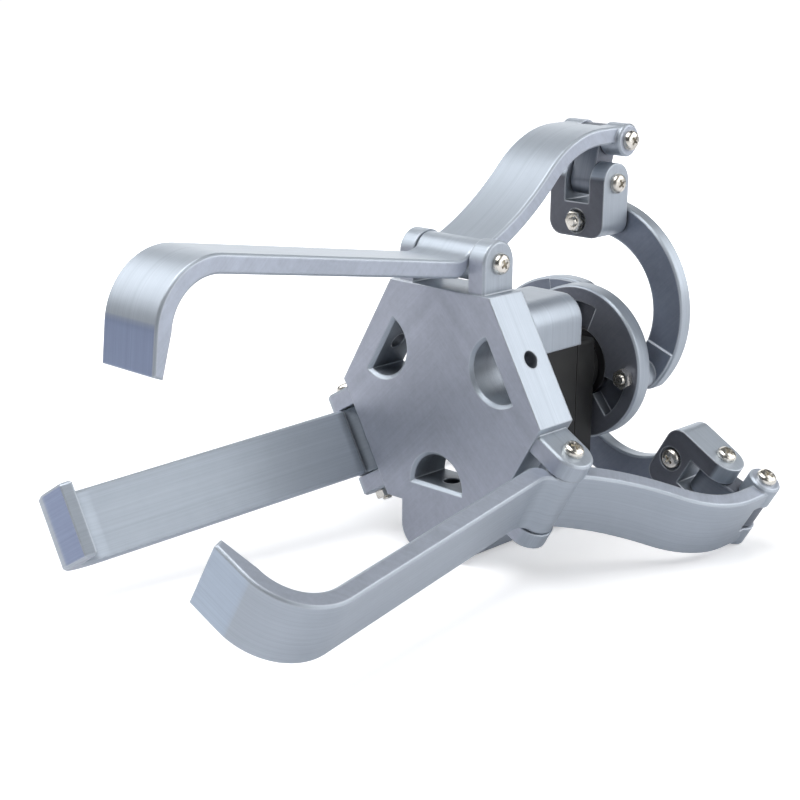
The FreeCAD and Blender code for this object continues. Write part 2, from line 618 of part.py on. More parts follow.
def rotor():
    """Round rotor plate with a three-lobed pocket in its front for the servo horn."""
    plate = rod(Vector(0, ROTOR_FRONT, 0), REAR, ROTOR_THICKNESS, ROTOR_RADIUS)
    plate = bevelled(plate, EDGE, lambda edge: isinstance(edge.Curve, Part.Circle))
    cuts = [rod(Vector(0, ROTOR_FRONT, 0), REAR, POCKET_DEPTH, POCKET_BORE),
            rod(Vector(0, ROTOR_FRONT, 0), REAR, ROTOR_THICKNESS, CENTRE_HOLE_RADIUS)]
    lobe_middle = PIN_LAG + POCKET_LAG
    first, middle, last = [Rotation(REAR, lobe_middle + turn).multVec(OUT)
                           for turn in (-POCKET_SPAN / 2, 0, POCKET_SPAN / 2)]
    lobe = outline_prism([line(ORIGIN, first * POCKET_OUT),
                          arc(first * POCKET_OUT, middle * POCKET_OUT, last * POCKET_OUT),
                          line(last * POCKET_OUT, ORIGIN)], ROTOR_FRONT, POCKET_DEPTH)
    pin = rotor_pin_place()
    pin_hole = rod(Vector(pin.x, ROTOR_FRONT, pin.z), REAR, ROTOR_THICKNESS, HOLE_RADIUS)
    for finger_index in range(FINGER_COUNT):
        turn = FINGER_PITCH * finger_index
        cuts += [turned(lobe, turn), turned(pin_hole, turn)]
    for place in horn_screw_places():
        cuts.append(rod(place, FRONT, ROTOR_THICKNESS, SMALL_SCREW_RADIUS + PIN_FIT))
    return plate.cut(cuts)


def horn_screw_places():
    """Seats of the horn screws on the rotor's rear face."""
    places = []
    for number in range(HORN_SCREW_COUNT):
        x, z = polar(HORN_CIRCLE_RADIUS, HORN_SCREW_START + 360 * number / HORN_SCREW_COUNT)
        places.append(Vector(x, ROTOR_REAR, z))
    return places


def servo_horn():
    """Round horn in the rotor's pocket, on the servo's output shaft."""
    hub_front = BOSS_REAR + FACE_GAP
    disc = rod(Vector(0, HORN_FRONT, 0), REAR, HORN_THICKNESS, HORN_RADIUS)
    body = fused(disc, rod(Vector(0, hub_front, 0), REAR, HORN_FRONT - hub_front,
                           HORN_HUB_RADIUS))
    holes = [rod(Vector(place.x, HORN_REAR, place.z), FRONT, HORN_THICKNESS, SMALL_SCREW_RADIUS)
             for place in horn_screw_places()]
    return body.cut([rod(Vector(0, hub_front, 0), REAR, SHAFT_REAR - hub_front, SHAFT_RADIUS),
                     rod(Vector(0, hub_front, 0), REAR, HORN_REAR - hub_front, HOLE_RADIUS)]
                    + holes)


def output_shaft():
    """Servo's output shaft, from inside the case to the horn."""
    start = BOSS_REAR - SHAFT_SINK
    shaft = rod(Vector(0, start, 0), REAR, SHAFT_REAR - start, SHAFT_RADIUS)
    depth = CENTRE_SCREW_LENGTH - (HORN_REAR - SHAFT_REAR)
    return shaft.cut(rod(Vector(0, SHAFT_REAR, 0), FRONT, depth, SCREW_RADIUS))


def servo_box(front, rear, inset=0.0):
    """Rounded box of the servo's section between two planes."""
    x_half = SERVO_WIDTH / 2 - inset
    z_half = SERVO_LENGTH / 2 - inset
    box = block_shape((-x_half, x_half), (front, rear), (-z_half, z_half))
    corners = [edge for edge in box.Edges if edge.BoundBox.YLength > rear - front - NEAR]
    box = box.makeFillet(SERVO_CORNER, corners)
    box.translate(Vector(0, 0, SERVO_MIDDLE))
    return box


def case_screw_places(plane):
    """Axes of the four long screws that hold the servo's case together."""
    x = SERVO_WIDTH / 2 - CASE_SCREW_INSET
    z = SERVO_LENGTH / 2 - CASE_SCREW_INSET
    return [Vector(sx * x, plane, SERVO_MIDDLE + sz * z) for sx in (-1, 1) for sz in (-1, 1)]


def servo_lower_cover():
    """Servo's end cover next to the palm, with sunk heads of the case screws."""
    rear = SERVO_FRONT + SERVO_LOWER_COVER
    body = servo_box(SERVO_FRONT, rear)
    body = bevelled(body, EDGE, lambda edge: in_plane(edge, "y", SERVO_FRONT))
    cuts = []
    for place in case_screw_places(SERVO_FRONT):
        cuts += [rod(place, REAR, SMALL_HEAD_HEIGHT, SMALL_HEAD_RADIUS + PIN_FIT),
                 rod(place, REAR, SERVO_LOWER_COVER, SMALL_SCREW_RADIUS + PIN_FIT)]
    return body.cut(cuts)


def servo_case():
    """Servo's middle case with the flange that is screwed to the posts."""
    front = SERVO_FRONT + SERVO_LOWER_COVER
    rear = SERVO_REAR - SERVO_TOP_COVER
    core = fused(servo_box(front, front + COVER_SEAM, COVER_SEAM),
                 servo_box(front + COVER_SEAM, rear))
    reach = SERVO_LENGTH / 2 + FLANGE_REACH
    flange = block_shape((-SERVO_WIDTH / 2, SERVO_WIDTH / 2),
                         (POST_REAR, POST_REAR + FLANGE_THICKNESS),
                         (SERVO_MIDDLE - reach, SERVO_MIDDLE + reach))
    cuts = [rod(place, FRONT, FLANGE_THICKNESS, FLANGE_SCREW_RADIUS + PIN_FIT)
            for place in flange_screw_places()]
    cuts += [rod(place, REAR, rear - front, SMALL_SCREW_RADIUS + PIN_FIT)
             for place in case_screw_places(front)]
    return fused(core, flange).cut(cuts)


def servo_top_cover():
    """Servo's gear cover with the round boss that carries the output shaft."""
    front = SERVO_REAR - SERVO_TOP_COVER
    body = fused(servo_box(front, front + COVER_SEAM, COVER_SEAM),
                 servo_box(front + COVER_SEAM, SERVO_REAR))
    body = bevelled(body, EDGE, lambda edge: in_plane(edge, "y", SERVO_REAR))
    boss = rod(Vector(0, SERVO_REAR, 0), REAR, SERVO_BOSS_HEIGHT, SERVO_BOSS_RADIUS)
    sink = rod(Vector(0, BOSS_REAR - SHAFT_SINK - FACE_GAP, 0), REAR, SHAFT_SINK + FACE_GAP,
               SHAFT_RADIUS + PIN_FIT)
    cuts = [rod(place, REAR, CASE_SCREW_BITE, SMALL_SCREW_RADIUS + PIN_FIT)
            for place in case_screw_places(front)]
    return fused(body, boss).cut([sink] + cuts)


def case_screw_length():
    """Shank of a case screw, from its sunk head into the top cover."""
    return SERVO_DEPTH - SMALL_HEAD_HEIGHT - SERVO_TOP_COVER + CASE_SCREW_BITE


def case_screws():
    seats = case_screw_places(SERVO_FRONT + SMALL_HEAD_HEIGHT)
    return [screw(seat, REAR, case_screw_length(), SMALL_SCREW_RADIUS, SMALL_HEAD_RADIUS,
                  SMALL_HEAD_HEIGHT) for seat in seats]


def flange_screw_places():
    """Seats of the four flange screws on the flange's rear face."""
    z = SERVO_LENGTH / 2 + FLANGE_REACH - FLANGE_HOLE_INSET
    plane = POST_REAR + FLANGE_THICKNESS
    return [Vector(sx * FLANGE_HOLE_SIDE, plane, SERVO_MIDDLE + sz * z)
            for sx in (-1, 1) for sz in (-1, 1)]


def flange_screws():
    return [screw(seat, FRONT, FLANGE_SCREW_LENGTH, FLANGE_SCREW_RADIUS) for seat in
            flange_screw_places()]


def hub_screw(side):
    """Screw through both ears and the hub, with its end standing out of its nut."""
    length = 2 * EAR_OUTER + NUT_HEIGHT + SCREW_OVERRUN
    return screw(Vector(side * EAR_OUTER, 0, HUB_OUT), SIDE * -side, length)


def hub_nut(side):
    return nut(Vector(-side * EAR_OUTER, 0, HUB_OUT), SIDE * -side)


def rotor_pin_screw():
    """Screw from behind the curved link, through the rotor, to the nut on its front."""
    pin = rotor_pin_place()
    seat = LINK_REAR + FACE_GAP
    end = SERVO_REAR + SIDE_GAP
    return screw(Vector(pin.x, seat, pin.z), FRONT, seat - end)


def rotor_pin_nut():
    pin = rotor_pin_place()
    return nut(Vector(pin.x, ROTOR_FRONT, pin.z), FRONT)


def drive_screw(front_head):
    """Slide block's long screw and washer, with its head in front or behind the curved link."""
    recess = BLOCK_FRONT + RECESS_DEPTH
    behind = LINK_REAR + SLIDE_GAP
    ring = washer(Vector(0, behind, DRIVE_PIN_OUT), REAR)
    seat = behind + WASHER_THICKNESS
    length = seat - recess + NUT_HEIGHT + SCREW_OVERRUN
    if front_head:
        body = screw(Vector(0, recess, DRIVE_PIN_OUT), REAR, length)
    else:
        body = screw(Vector(0, seat, DRIVE_PIN_OUT), FRONT, length)
    return [body, ring]


def drive_nut(front_head):
    """Nut at the other end of the slide block's long screw."""
    if front_head:
        return nut(Vector(0, LINK_REAR + SLIDE_GAP + WASHER_THICKNESS, DRIVE_PIN_OUT), REAR)
    return nut(Vector(0, BLOCK_FRONT + RECESS_DEPTH, DRIVE_PIN_OUT), FRONT)


def cross_screw(rear, out, half_width, side):
    """Screw across a hinge, flush at its far end."""
    return screw(Vector(side * half_width, rear, out), SIDE * -side, 2 * half_width)


def save(name, *solids):
    """Lift the piece so that the foot rests on Z = 0 and write it."""
    shape = solids[0] if len(solids) == 1 else Part.makeCompound(list(solids))
    lifted = shape.copy()
    lifted.translate(Vector(0, 0, AXIS_HEIGHT))
    lifted.exportStep(f"parts/{name}.step")


def main():
    os.makedirs("parts", exist_ok=True)
    save("palm", palm())
    save("servo_lower_cover", servo_lower_cover())
    save("servo_case", servo_case())
    save("servo_top_cover", servo_top_cover())
    save("servo_case_screws", *case_screws())
    save("servo_flange_screws", *flange_screws())
    save("output_shaft", output_shaft())
    save("servo_horn", servo_horn())
    save("rotor", rotor())
    horn_screws = [screw(place, FRONT, ROTOR_THICKNESS - POCKET_DEPTH + HORN_THICKNESS,
                         SMALL_SCREW_RADIUS, SMALL_HEAD_RADIUS, SMALL_HEAD_HEIGHT)
                   for place in horn_screw_places()]
    save("horn_screws", *horn_screws)
    save("horn_centre_screw", screw(Vector(0, HORN_REAR, 0), FRONT, CENTRE_SCREW_LENGTH))

    turns = [FINGER_PITCH * number for number in range(FINGER_COUNT)]
    save("hub_screws", *[turned(hub_screw(side), turn) for side, turn in zip(HEAD_SIDES, turns)])
    save("hub_nuts", *[turned(hub_nut(side), turn) for side, turn in zip(HEAD_SIDES, turns)])
    save("rotor_pin_screws", *[turned(rotor_pin_screw(), turn) for turn in turns])
    save("rotor_pin_nuts", *[turned(rotor_pin_nut(), turn) for turn in turns])

    for number, turn in enumerate(turns):
        side = HEAD_SIDES[number]
        front_head = FRONT_HEADS[number]
        label = number + 1
        knuckle_half = KNUCKLE_WIDTH / 2
        fork_half = BLOCK_WIDTH / 2
        pieces = {
            "finger": [finger()],
            "rear_hinge_screw": [cross_screw(KNUCKLE_REAR, KNUCKLE_OUT, knuckle_half, side)],
            "short_link": [short_link()],
            "slide_block": [slide_block()],
            "fork_screw": [cross_screw(FORK_PIN_REAR, FORK_PIN_OUT, fork_half, side)],
            "drive_screw": drive_screw(front_head),
            "drive_nut": [drive_nut(front_head)],
            "curved_link": [curved_link()],
        }
        for name, solids in pieces.items():
            save(f"{name}_{label}", *[turned(solid, turn) for solid in solids])


main()
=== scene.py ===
"""Looks of the three-fingered claw gripper: finishes, fasteners, camera and studio."""

import logging
import math
import random
from dataclasses import dataclass, field
from enum import Enum
from typing import Iterable, Sequence, Union

import bmesh
import bpy
from mathutils import Matrix, Vector

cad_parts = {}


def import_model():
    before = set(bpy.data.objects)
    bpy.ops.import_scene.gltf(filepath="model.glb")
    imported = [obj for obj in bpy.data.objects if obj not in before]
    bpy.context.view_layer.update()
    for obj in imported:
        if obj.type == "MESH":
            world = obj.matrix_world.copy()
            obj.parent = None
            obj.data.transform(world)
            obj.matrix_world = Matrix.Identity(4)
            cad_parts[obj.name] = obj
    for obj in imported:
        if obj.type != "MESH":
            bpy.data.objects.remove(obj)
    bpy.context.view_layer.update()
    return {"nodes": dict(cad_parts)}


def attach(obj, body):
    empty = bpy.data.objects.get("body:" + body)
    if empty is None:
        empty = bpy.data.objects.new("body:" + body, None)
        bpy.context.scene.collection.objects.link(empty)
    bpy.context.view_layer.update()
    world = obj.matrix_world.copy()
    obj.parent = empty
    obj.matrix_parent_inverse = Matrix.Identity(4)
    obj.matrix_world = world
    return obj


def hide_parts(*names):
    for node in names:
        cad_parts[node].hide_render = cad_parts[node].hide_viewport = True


MM = 0.001
Pair = tuple[float, float]
Triple = tuple[float, float, float]
Socket = bpy.types.NodeSocket
Value = Union[float, Sequence[float], Socket]

log = logging.getLogger("gripper")


class Slot(Enum):
    """Material slot names for the fasteners' finishes, which nothing in this script uses."""

    NICKEL = "nickel_steel"
    DARK = "dark_steel"


class Carve(Enum):
    """How one mesh cuts another."""

    CUT = "DIFFERENCE"
    KEEP_COMMON = "INTERSECT"


@dataclass(frozen=True)
class Layout:
    """The main axis, and the turn of each finger about it. Lengths are in millimetres."""

    axis_height: float = 46.6593
    pitch: float = 120.0
    fingers: tuple[int, ...] = (1, 2, 3)

    def spin(self, finger: int) -> Matrix:
        """Rotation that takes finger 1's directions to those of the given finger."""
        turn = math.radians(self.pitch * (finger - 1))
        return Matrix.Rotation(turn, 4, Vector((0, -1, 0)))

    def frame(self, finger: int) -> Matrix:
        """Matrix from finger 1's millimetres about the main axis to the scene's metres."""
        lift = Matrix.Translation((0.0, 0.0, self.axis_height * MM))
        return lift @ self.spin(finger) @ Matrix.Scale(MM, 4)

    def direction(self, finger: int, local: Triple) -> tuple[float, ...]:
        """A direction of finger 1, turned to the given finger."""
        return tuple(self.spin(finger).to_3x3() @ Vector(local))


LAYOUT = Layout()


def opaque(tone: Triple, share: float = 1.0) -> tuple[float, ...]:
    """A colour, brightened or darkened by a share, with no see-through."""
    return (*(share * part for part in tone), 1.0)


def show(thing: bpy.types.Object) -> None:
    """Links an object into the scene."""
    bpy.context.scene.collection.objects.link(thing)


class NodeDesk:
    """Adds and links shader nodes in one node tree."""

    # The Mix node has sockets of the same names for numbers, vectors and colours.
    MIX_SHARE, MIX_FIRST, MIX_SECOND, MIX_RESULT = 0, 6, 7, 2

    def __init__(self, tree: bpy.types.NodeTree) -> None:
        """Keeps the tree of a material, a world or a group."""
        self.tree = tree

    def put(self, socket: Socket, value: Value) -> None:
        """Links a socket to another, or gives it a constant.

        Args:
            socket: the input that gets it.
            value: another socket, or a constant.
        """
        if isinstance(value, Socket):
            self.tree.links.new(value, socket)
        else:
            socket.default_value = value

    def add(self, kind: str, inputs: dict[Union[int, str], Value] | None = None,
            **settings: object) -> bpy.types.Node:
        """Adds one node.

        Args:
            kind: Blender's type name of the node.
            inputs: values or sockets for its inputs, by name or number.
            settings: the node's own settings.

        Returns:
            The new node.
        """
        node = self.tree.nodes.new(kind)
        for name, value in settings.items():
            setattr(node, name, value)
        for key, value in (inputs or {}).items():
            self.put(node.inputs[key], value)
        return node

    def math(self, operation: str, first: Value, second: Value = 0.0) -> Socket:
        """Result of a sum, by Blender's name of it."""
        inputs = {0: first, 1: second}
        return self.add("ShaderNodeMath", inputs, operation=operation).outputs[0]

    def vector(self, operation: str, inputs: dict[Union[int, str], Value]) -> Socket:
        """Result of a vector sum, by Blender's name of it."""
        return self.add("ShaderNodeVectorMath", inputs, operation=operation).outputs[0]

    def weighed(self, *terms: tuple[Value, float]) -> Socket:
        """Adds up several values, each with its own weight.

        Args:
            terms: pairs of a value and its weight.

        Returns:
            The sum.
        """
        total: Value = 0.0
        for value, weight in terms:
            total = self.math("ADD", self.math("MULTIPLY", value, weight), total)
        return total

    def dot(self, first: Value, second: Value) -> Socket:
        """Dot product of two vectors."""
        inputs = {0: first, 1: second}
        node = self.add("ShaderNodeVectorMath", inputs, operation="DOT_PRODUCT")
        return node.outputs["Value"]

    def blend(self, share: Value, first: Value, second: Value) -> Socket:
        """Mixes two numbers, from the first at a share of 0 to the second at 1."""
        node = self.add("ShaderNodeMix", {"Factor": share, "A": first, "B": second},
                        data_type="FLOAT")
        return node.outputs["Result"]

    def tint(self, share: Value, first: Value, second: Value, mode: str = "MIX") -> Socket:
        """Mixes two colours, from the first at a share of 0 to the second at 1."""
        node = self.add("ShaderNodeMix", {self.MIX_SHARE: share, self.MIX_FIRST: first,
                                          self.MIX_SECOND: second},
                        data_type="RGBA", blend_type=mode)
        return node.outputs[self.MIX_RESULT]

    def noise(self, vector: Value, scale: float, detail: float = 2.0,
              roughness: float = 0.5) -> Socket:
        """Even noise from 0 to 1. Its scale is the number of features in a metre."""
        node = self.add("ShaderNodeTexNoise", {"Vector": vector, "Scale": scale,
                                               "Detail": detail, "Roughness": roughness})
        return node.outputs["Fac"]

    def drift(self, distance: Value, scale: float) -> Socket:
        """Noise along one distance, from 0 to 1. Its scale counts features in a metre."""
        inputs = {"W": self.math("MULTIPLY", distance, scale), "Scale": 1.0, "Detail": 3.0}
        return self.add("ShaderNodeTexNoise", inputs, noise_dimensions="1D").outputs["Fac"]

    def draw(self, steps: Value) -> Socket:
        """A random value from 0 to 1 for each whole step."""
        whole = self.math("FLOOR", steps)
        node = self.add("ShaderNodeTexWhiteNoise", {"W": whole}, noise_dimensions="1D")
        return node.outputs["Value"]

    def remap(self, value: Value, low: float, high: float, to_low: float = 0.0,
              to_high: float = 1.0) -> Socket:
        """Brings a value from one range to another, held at both ends.

        Args:
            value: what is brought over.
            low: the value that becomes to_low.
            high: the value that becomes to_high.
            to_low: start of the new range.
            to_high: end of the new range.

        Returns:
            The value in the new range.
        """
        node = self.add("ShaderNodeMapRange", {"Value": value, "From Min": low,
                                               "From Max": high, "To Min": to_low,
                                               "To Max": to_high})
        return node.outputs["Result"]

    def bump(self, height: Value, distance: float, normal: Value | None = None) -> Socket:
        """Adds relief to the surface.

        Args:
            height: the relief, from 0 to 1.
            distance: how high 1 is, in metres.
            normal: the normal that it starts from, the surface's own if left out.

        Returns:
            The normal with the relief.
        """
        inputs = {"Height": height, "Distance": distance, "Strength": 1.0}
        if normal is not None:
            inputs["Normal"] = normal
        return self.add("ShaderNodeBump", inputs).outputs[0]

    def rounded(self, radius: Value, samples: int) -> Socket:
        """The surface's normal with its edges rounded by a radius in metres."""
        return self.add("ShaderNodeBevel", {"Radius": radius}, samples=samples).outputs[0]


@dataclass(frozen=True)
class Port:
    """One socket of a shader node group."""

    name: str
    kind: str = "Float"
    start: Union[float, Triple] = 0.0


PLACE = Port("Place", "Vector", (0.0, 0.0, 0.0))


def new_group(name: str, inputs: Sequence[Port], outputs: Sequence[str]
              ) -> tuple[NodeDesk, dict[str, Socket], dict[str, Socket]]:
    """Makes an empty shader node group.

    Args:
        name: the group's name.
        inputs: its input sockets.
        outputs: names of the numbers that it puts out.

    Returns:
        A desk for its nodes, its inputs by name and its outputs by name.
    """
    tree = bpy.data.node_groups.new(name, "ShaderNodeTree")
    for port in inputs:
        socket = tree.interface.new_socket(port.name, in_out="INPUT",
                                           socket_type=f"NodeSocket{port.kind}")
        socket.default_value = port.start
    for out in outputs:
        tree.interface.new_socket(out, in_out="OUTPUT", socket_type="NodeSocketFloat")
    source = tree.nodes.new("NodeGroupInput")
    result = tree.nodes.new("NodeGroupOutput")
    return (NodeDesk(tree), {port.name: source.outputs[port.name] for port in inputs},
            {out: result.inputs[out] for out in outputs})


@dataclass(frozen=True)
class PrintMarks:
    """Marks that printing leaves. Scales count features in a metre, weights are shares."""

    layer_height: float = 0.00025
    line_width: float = 0.00045
    drift_scale: float = 900.0
    streak_scale: float = 55.0
    streak_squeeze: float = 45.0
    wall_weights: Triple = (0.20, 0.38, 0.42)
    band_scale: float = 260.0
    patch_scale: float = 150.0
    broad_scale: float = 30.0
    speck_scale: float = 800.0
    flat_weights: tuple[float, ...] = (0.08, 0.20, 0.22, 0.24, 0.28)
    line_height: float = 0.3
    flat_from: float = 0.93
    flat_full: float = 0.985


class SurfaceGroups:
    """Shader node groups that several finishes share."""

    def __init__(self) -> None:
        """Builds each group once."""
        self.layers = self._layers(PrintMarks())
        # Mask of edges for painted highlights on printed plastic and wear on moulded plastic.
        self.edges = self._edge_highlight_and_wear()
        self.grain = self._grain()
        # Mask for painted shade in the corners and pockets of each piece.
        self.recess = self._recess_painted_shade()

    @staticmethod
    def _bead(desk: NodeDesk, place: Value) -> Socket:
        """Rounded ridge across each whole step.

        Args:
            desk: the desk of the group.
            place: a number that grows by 1 from one ridge to the next.

        Returns:
            The ridge's height, from 0 to 1.
        """
        across = desk.math("SUBTRACT", desk.math("FRACT", place), 0.5)
        squared = desk.math("MULTIPLY", across, across)
        return desk.math("SUBTRACT", 1.0, desk.math("MULTIPLY", squared, 4.0))

    def _layers(self, marks: PrintMarks) -> bpy.types.NodeTree:
        """Layer lines on printed walls, and drawn lines on printed flat faces.

        Args:
            marks: how fine and how strong the marks are.

        Returns:
            A group that gives a height for bump, a tone for colour, and a mask of the flat
            faces across the stack, all from 0 to 1.
        """
        desk, given, out = new_group(
            "Printed layers",
            [PLACE, Port("Normal", "Vector", (0.0, 0.0, 1.0)),
             Port("Stack", "Vector", (0.0, 0.0, 1.0)),
             Port("Raster", "Vector", (1.0, 0.0, 0.0)),
             Port("Layer height", start=marks.layer_height),
             Port("Line width", start=marks.line_width)],
            ["Height", "Tone", "Flat face"])
        depth = desk.dot(given["Place"], given["Stack"])
        steps = desk.math("DIVIDE", depth, given["Layer height"])
        # Streaks: noise that is long along a layer and short across the layers.
        squeeze = desk.vector("SCALE", {0: given["Stack"], "Scale": desk.math(
            "MULTIPLY", depth, marks.streak_squeeze)})
        squeezed = desk.vector("ADD", {0: given["Place"], 1: squeeze})
        streak = desk.noise(squeezed, marks.streak_scale, 3.0, 0.55)
        # Each layer has its own shade, and neighbouring layers drift together.
        wall_marks = (desk.draw(steps), desk.drift(depth, marks.drift_scale), streak)
        # The drawn lines turn back at the middle plane, so they meet there in a V.
        folded = desk.vector("ABSOLUTE", {0: given["Place"]})
        along = desk.dot(folded, given["Raster"])
        lines = desk.math("DIVIDE", along, given["Line width"])
        broad = desk.remap(desk.noise(given["Place"], marks.broad_scale), 0.3, 0.7)
        flat_marks = (desk.draw(lines), desk.drift(along, marks.band_scale),
                      desk.noise(given["Place"], marks.patch_scale, 4.0, 0.65), broad,
                      desk.noise(given["Place"], marks.speck_scale, 2.0, 0.6))
        wall_tone = desk.weighed(*zip(wall_marks, marks.wall_weights))
        flat_tone = desk.weighed(*zip(flat_marks, marks.flat_weights))
        facing = desk.math("ABSOLUTE", desk.dot(given["Normal"], given["Stack"]))
        flat = desk.remap(facing, marks.flat_from, marks.flat_full)
        line_height = desk.math("MULTIPLY", self._bead(desk, lines), marks.line_height)
        desk.put(out["Height"], desk.blend(flat, self._bead(desk, steps), line_height))
        desk.put(out["Tone"], desk.blend(flat, wall_tone, flat_tone))
        desk.put(out["Flat face"], flat)
        return desk.tree

    @staticmethod
    def _edge_highlight_and_wear() -> bpy.types.NodeTree:
        """Mask of rounded edges, which are lightened: a painted highlight on printed plastic,
        and wear on moulded plastic.

        Returns:
            A group that gives 1 on an edge and 0 away from it.
        """
        desk, given, out = new_group("Edge highlight and wear", [PLACE, Port("Reach", start=0.0005)],
                                     ["Mask"])
        plain = desk.add("ShaderNodeNewGeometry").outputs["Normal"]
        turn = desk.dot(desk.rounded(given["Reach"], 6), plain)
        broken = desk.math("MULTIPLY", desk.noise(given["Place"], 900.0), 0.03)
        desk.put(out["Mask"], desk.remap(desk.math("ADD", turn, broken), 1.0, 0.93))
        return desk.tree

    @staticmethod
    def _grain() -> bpy.types.NodeTree:
        """Fine grain of moulded plastic or plated metal.

        Returns:
            A group that gives a height and a patchy mask, both from 0 to 1.
        """
        desk, given, out = new_group("Fine grain", [PLACE, Port("Size", start=0.0003)],
                                     ["Height", "Patch"])
        scaled = desk.vector("SCALE", {0: given["Place"],
                                       "Scale": desk.math("DIVIDE", 1.0, given["Size"])})
        cells = desk.add("ShaderNodeTexVoronoi", {"Vector": scaled, "Scale": 1.0})
        fine = desk.noise(scaled, 1.7, 3.0, 0.6)
        desk.put(out["Height"], desk.blend(0.5, cells.outputs["Distance"], fine))
        desk.put(out["Patch"], desk.noise(given["Place"], 210.0, 3.0, 0.6))
        return desk.tree

    @staticmethod
    def _recess_painted_shade() -> bpy.types.NodeTree:
        """Mask of the corners and pockets of one piece, where painted shade darkens them.

        Returns:
            A group that gives 1 deep in a pocket of the same piece and 0 in the open.
        """
        desk, given, out = new_group("Recess painted shade", [PLACE, Port("Reach", start=0.01)],
                                     ["Mask"])
        # Painted shade: ambient occlusion within the same piece, made a little uneven, marks
        # where shade falls.
        near = desk.add("ShaderNodeAmbientOcclusion", {"Distance": given["Reach"]}, samples=8,
                        only_local=True)
        uneven = desk.math("MULTIPLY", desk.noise(given["Place"], 260.0, 3.0), 0.12)
        open_sky = desk.math("ADD", near.outputs["AO"], uneven)
        desk.put(out["Mask"], desk.remap(open_sky, 0.86, 0.30))
        return desk.tree


@dataclass(frozen=True)
class Finish:
    """Start of a finish: a material with a Principled shader and object coordinates."""

    name: str

    def begin(self) -> tuple[bpy.types.Material, NodeDesk, bpy.types.Node, bpy.types.Node]:
        """Makes the bare material.

        Returns:
            The material, its desk, its Principled shader and its Texture Coordinate node.
        """
        material = bpy.data.materials.new(self.name)
        material.use_nodes = True
        material.node_tree.nodes.clear()
        desk = NodeDesk(material.node_tree)
        shader = desk.add("ShaderNodeBsdfPrincipled")
        place = desk.add("ShaderNodeTexCoord")
        return material, desk, shader, place

    @staticmethod
    def end(desk: NodeDesk, shader: bpy.types.Node) -> None:
        """Links a finished shader to the material's output."""
        desk.add("ShaderNodeOutputMaterial", {"Surface": shader.outputs[0]})


@dataclass(frozen=True)
class PrintedFinish(Finish):
    """Silver-grey printed plastic with layer lines. Lengths are in metres."""

    groups: SurfaceGroups
    stack: Triple
    raster: Triple
    light: Triple = (0.490, 0.545, 0.610)
    dark: Triple = (0.410, 0.458, 0.520)
    tone_range: Pair = (0.27, 0.73)
    flat: Triple = (0.460, 0.505, 0.590)
    flat_shares: Pair = (0.80, 1.16)
    # Painted highlight along rounded edges: its light tone, its strength and its width.
    edge: Triple = (0.680, 0.725, 0.780)
    edge_highlight_share: float = 0.6
    edge_highlight_reach: float = 0.0008
    # Painted shade in the piece's own corners and pockets: its near-black tone, its strength
    # and its reach.
    painted_shade_tone: Triple = (0.060, 0.064, 0.078)
    painted_shade_share: float = 0.80
    painted_shade_reach: float = 0.012
    grain_size: float = 0.00035
    grain_share: float = 0.2
    metallic: float = 0.62
    refraction: float = 1.47
    rough: Pair = (0.47, 0.39)
    rounding: float = 0.0007
    layer_relief: float = 0.000006
    tone_relief: float = 0.0000096
    # Painted reflection on the flat outside of a hook's end: the way it faces, its tone, and
    # where it starts and blurs.
    end_way: Triple | None = None
    end_painted_reflection: Triple = (1.0, 1.0, 1.0)
    end_start: float = 0.099
    end_blur: float = 0.002

    def material(self) -> bpy.types.Material:
        """Builds the material.

        Returns:
            The finished material.
        """
        material, desk, shader, place = self.begin()
        at = place.outputs["Object"]
        layers = desk.add("ShaderNodeGroup", {
            "Place": at, "Normal": place.outputs["Normal"], "Stack": self.stack,
            "Raster": self.raster}, node_tree=self.groups.layers).outputs
        grain = desk.add("ShaderNodeGroup", {"Place": at, "Size": self.grain_size},
                         node_tree=self.groups.grain)
        # Mask for the painted highlight along rounded edges.
        edges = desk.add("ShaderNodeGroup", {"Place": at, "Reach": self.edge_highlight_reach},
                         node_tree=self.groups.edges)
        # Mask for the painted shade in corners and pockets.
        recess = desk.add("ShaderNodeGroup", {"Place": at, "Reach": self.painted_shade_reach},
                          node_tree=self.groups.recess)
        tone = desk.weighed((layers["Tone"], 1.0 - self.grain_share),
                            (grain.outputs["Patch"], self.grain_share))
        share = desk.remap(tone, *self.tone_range)
        walls = desk.tint(share, opaque(self.dark), opaque(self.light))
        flats = desk.tint(share, *(opaque(self.flat, part) for part in self.flat_shares))
        body = desk.tint(layers["Flat face"], walls, flats)
        if self.end_way:
            body = self._hook_end_painted_reflection(desk, place, body)
        # Painted shade: deep corners and pockets turn towards a near-black tone.
        painted_shade = desk.math("MULTIPLY", recess.outputs["Mask"], self.painted_shade_share)
        body = desk.tint(painted_shade, body, opaque(self.painted_shade_tone))
        # Painted highlight: rounded edges turn towards a lighter tone.
        shine = desk.math("MULTIPLY", edges.outputs["Mask"], self.edge_highlight_share)
        desk.put(shader.inputs["Base Color"], desk.tint(shine, body, opaque(self.edge)))
        desk.put(shader.inputs["Roughness"], desk.remap(tone, 0.2, 0.8, *self.rough))
        shader.inputs["Metallic"].default_value = self.metallic
        shader.inputs["IOR"].default_value = self.refraction
        relief = desk.bump(layers["Height"], self.layer_relief, desk.rounded(self.rounding, 8))
        desk.put(shader.inputs["Normal"], desk.bump(layers["Tone"], self.tone_relief, relief))
        self.end(desk, shader)
        return material

    def _hook_end_painted_reflection(self, desk: NodeDesk, place: bpy.types.Node, body: Value) -> Socket:
        """Gives the flat outside of a hook's end a painted reflection, multiplied into its
        colour.

        Args:
            desk: the material's desk.
            place: the Texture Coordinate node.
            body: the colour so far.

        Returns:
            The colour with the painted reflection on the end.
        """
        facing = desk.remap(desk.dot(place.outputs["Normal"], self.end_way), 0.992, 0.998)
        forward = desk.dot(place.outputs["Object"], (0.0, -1.0, 0.0))
        reach = desk.remap(forward, self.end_start, self.end_start + self.end_blur)
        return desk.tint(desk.math("MULTIPLY", facing, reach), body, opaque(self.end_painted_reflection),
                         "MULTIPLY")


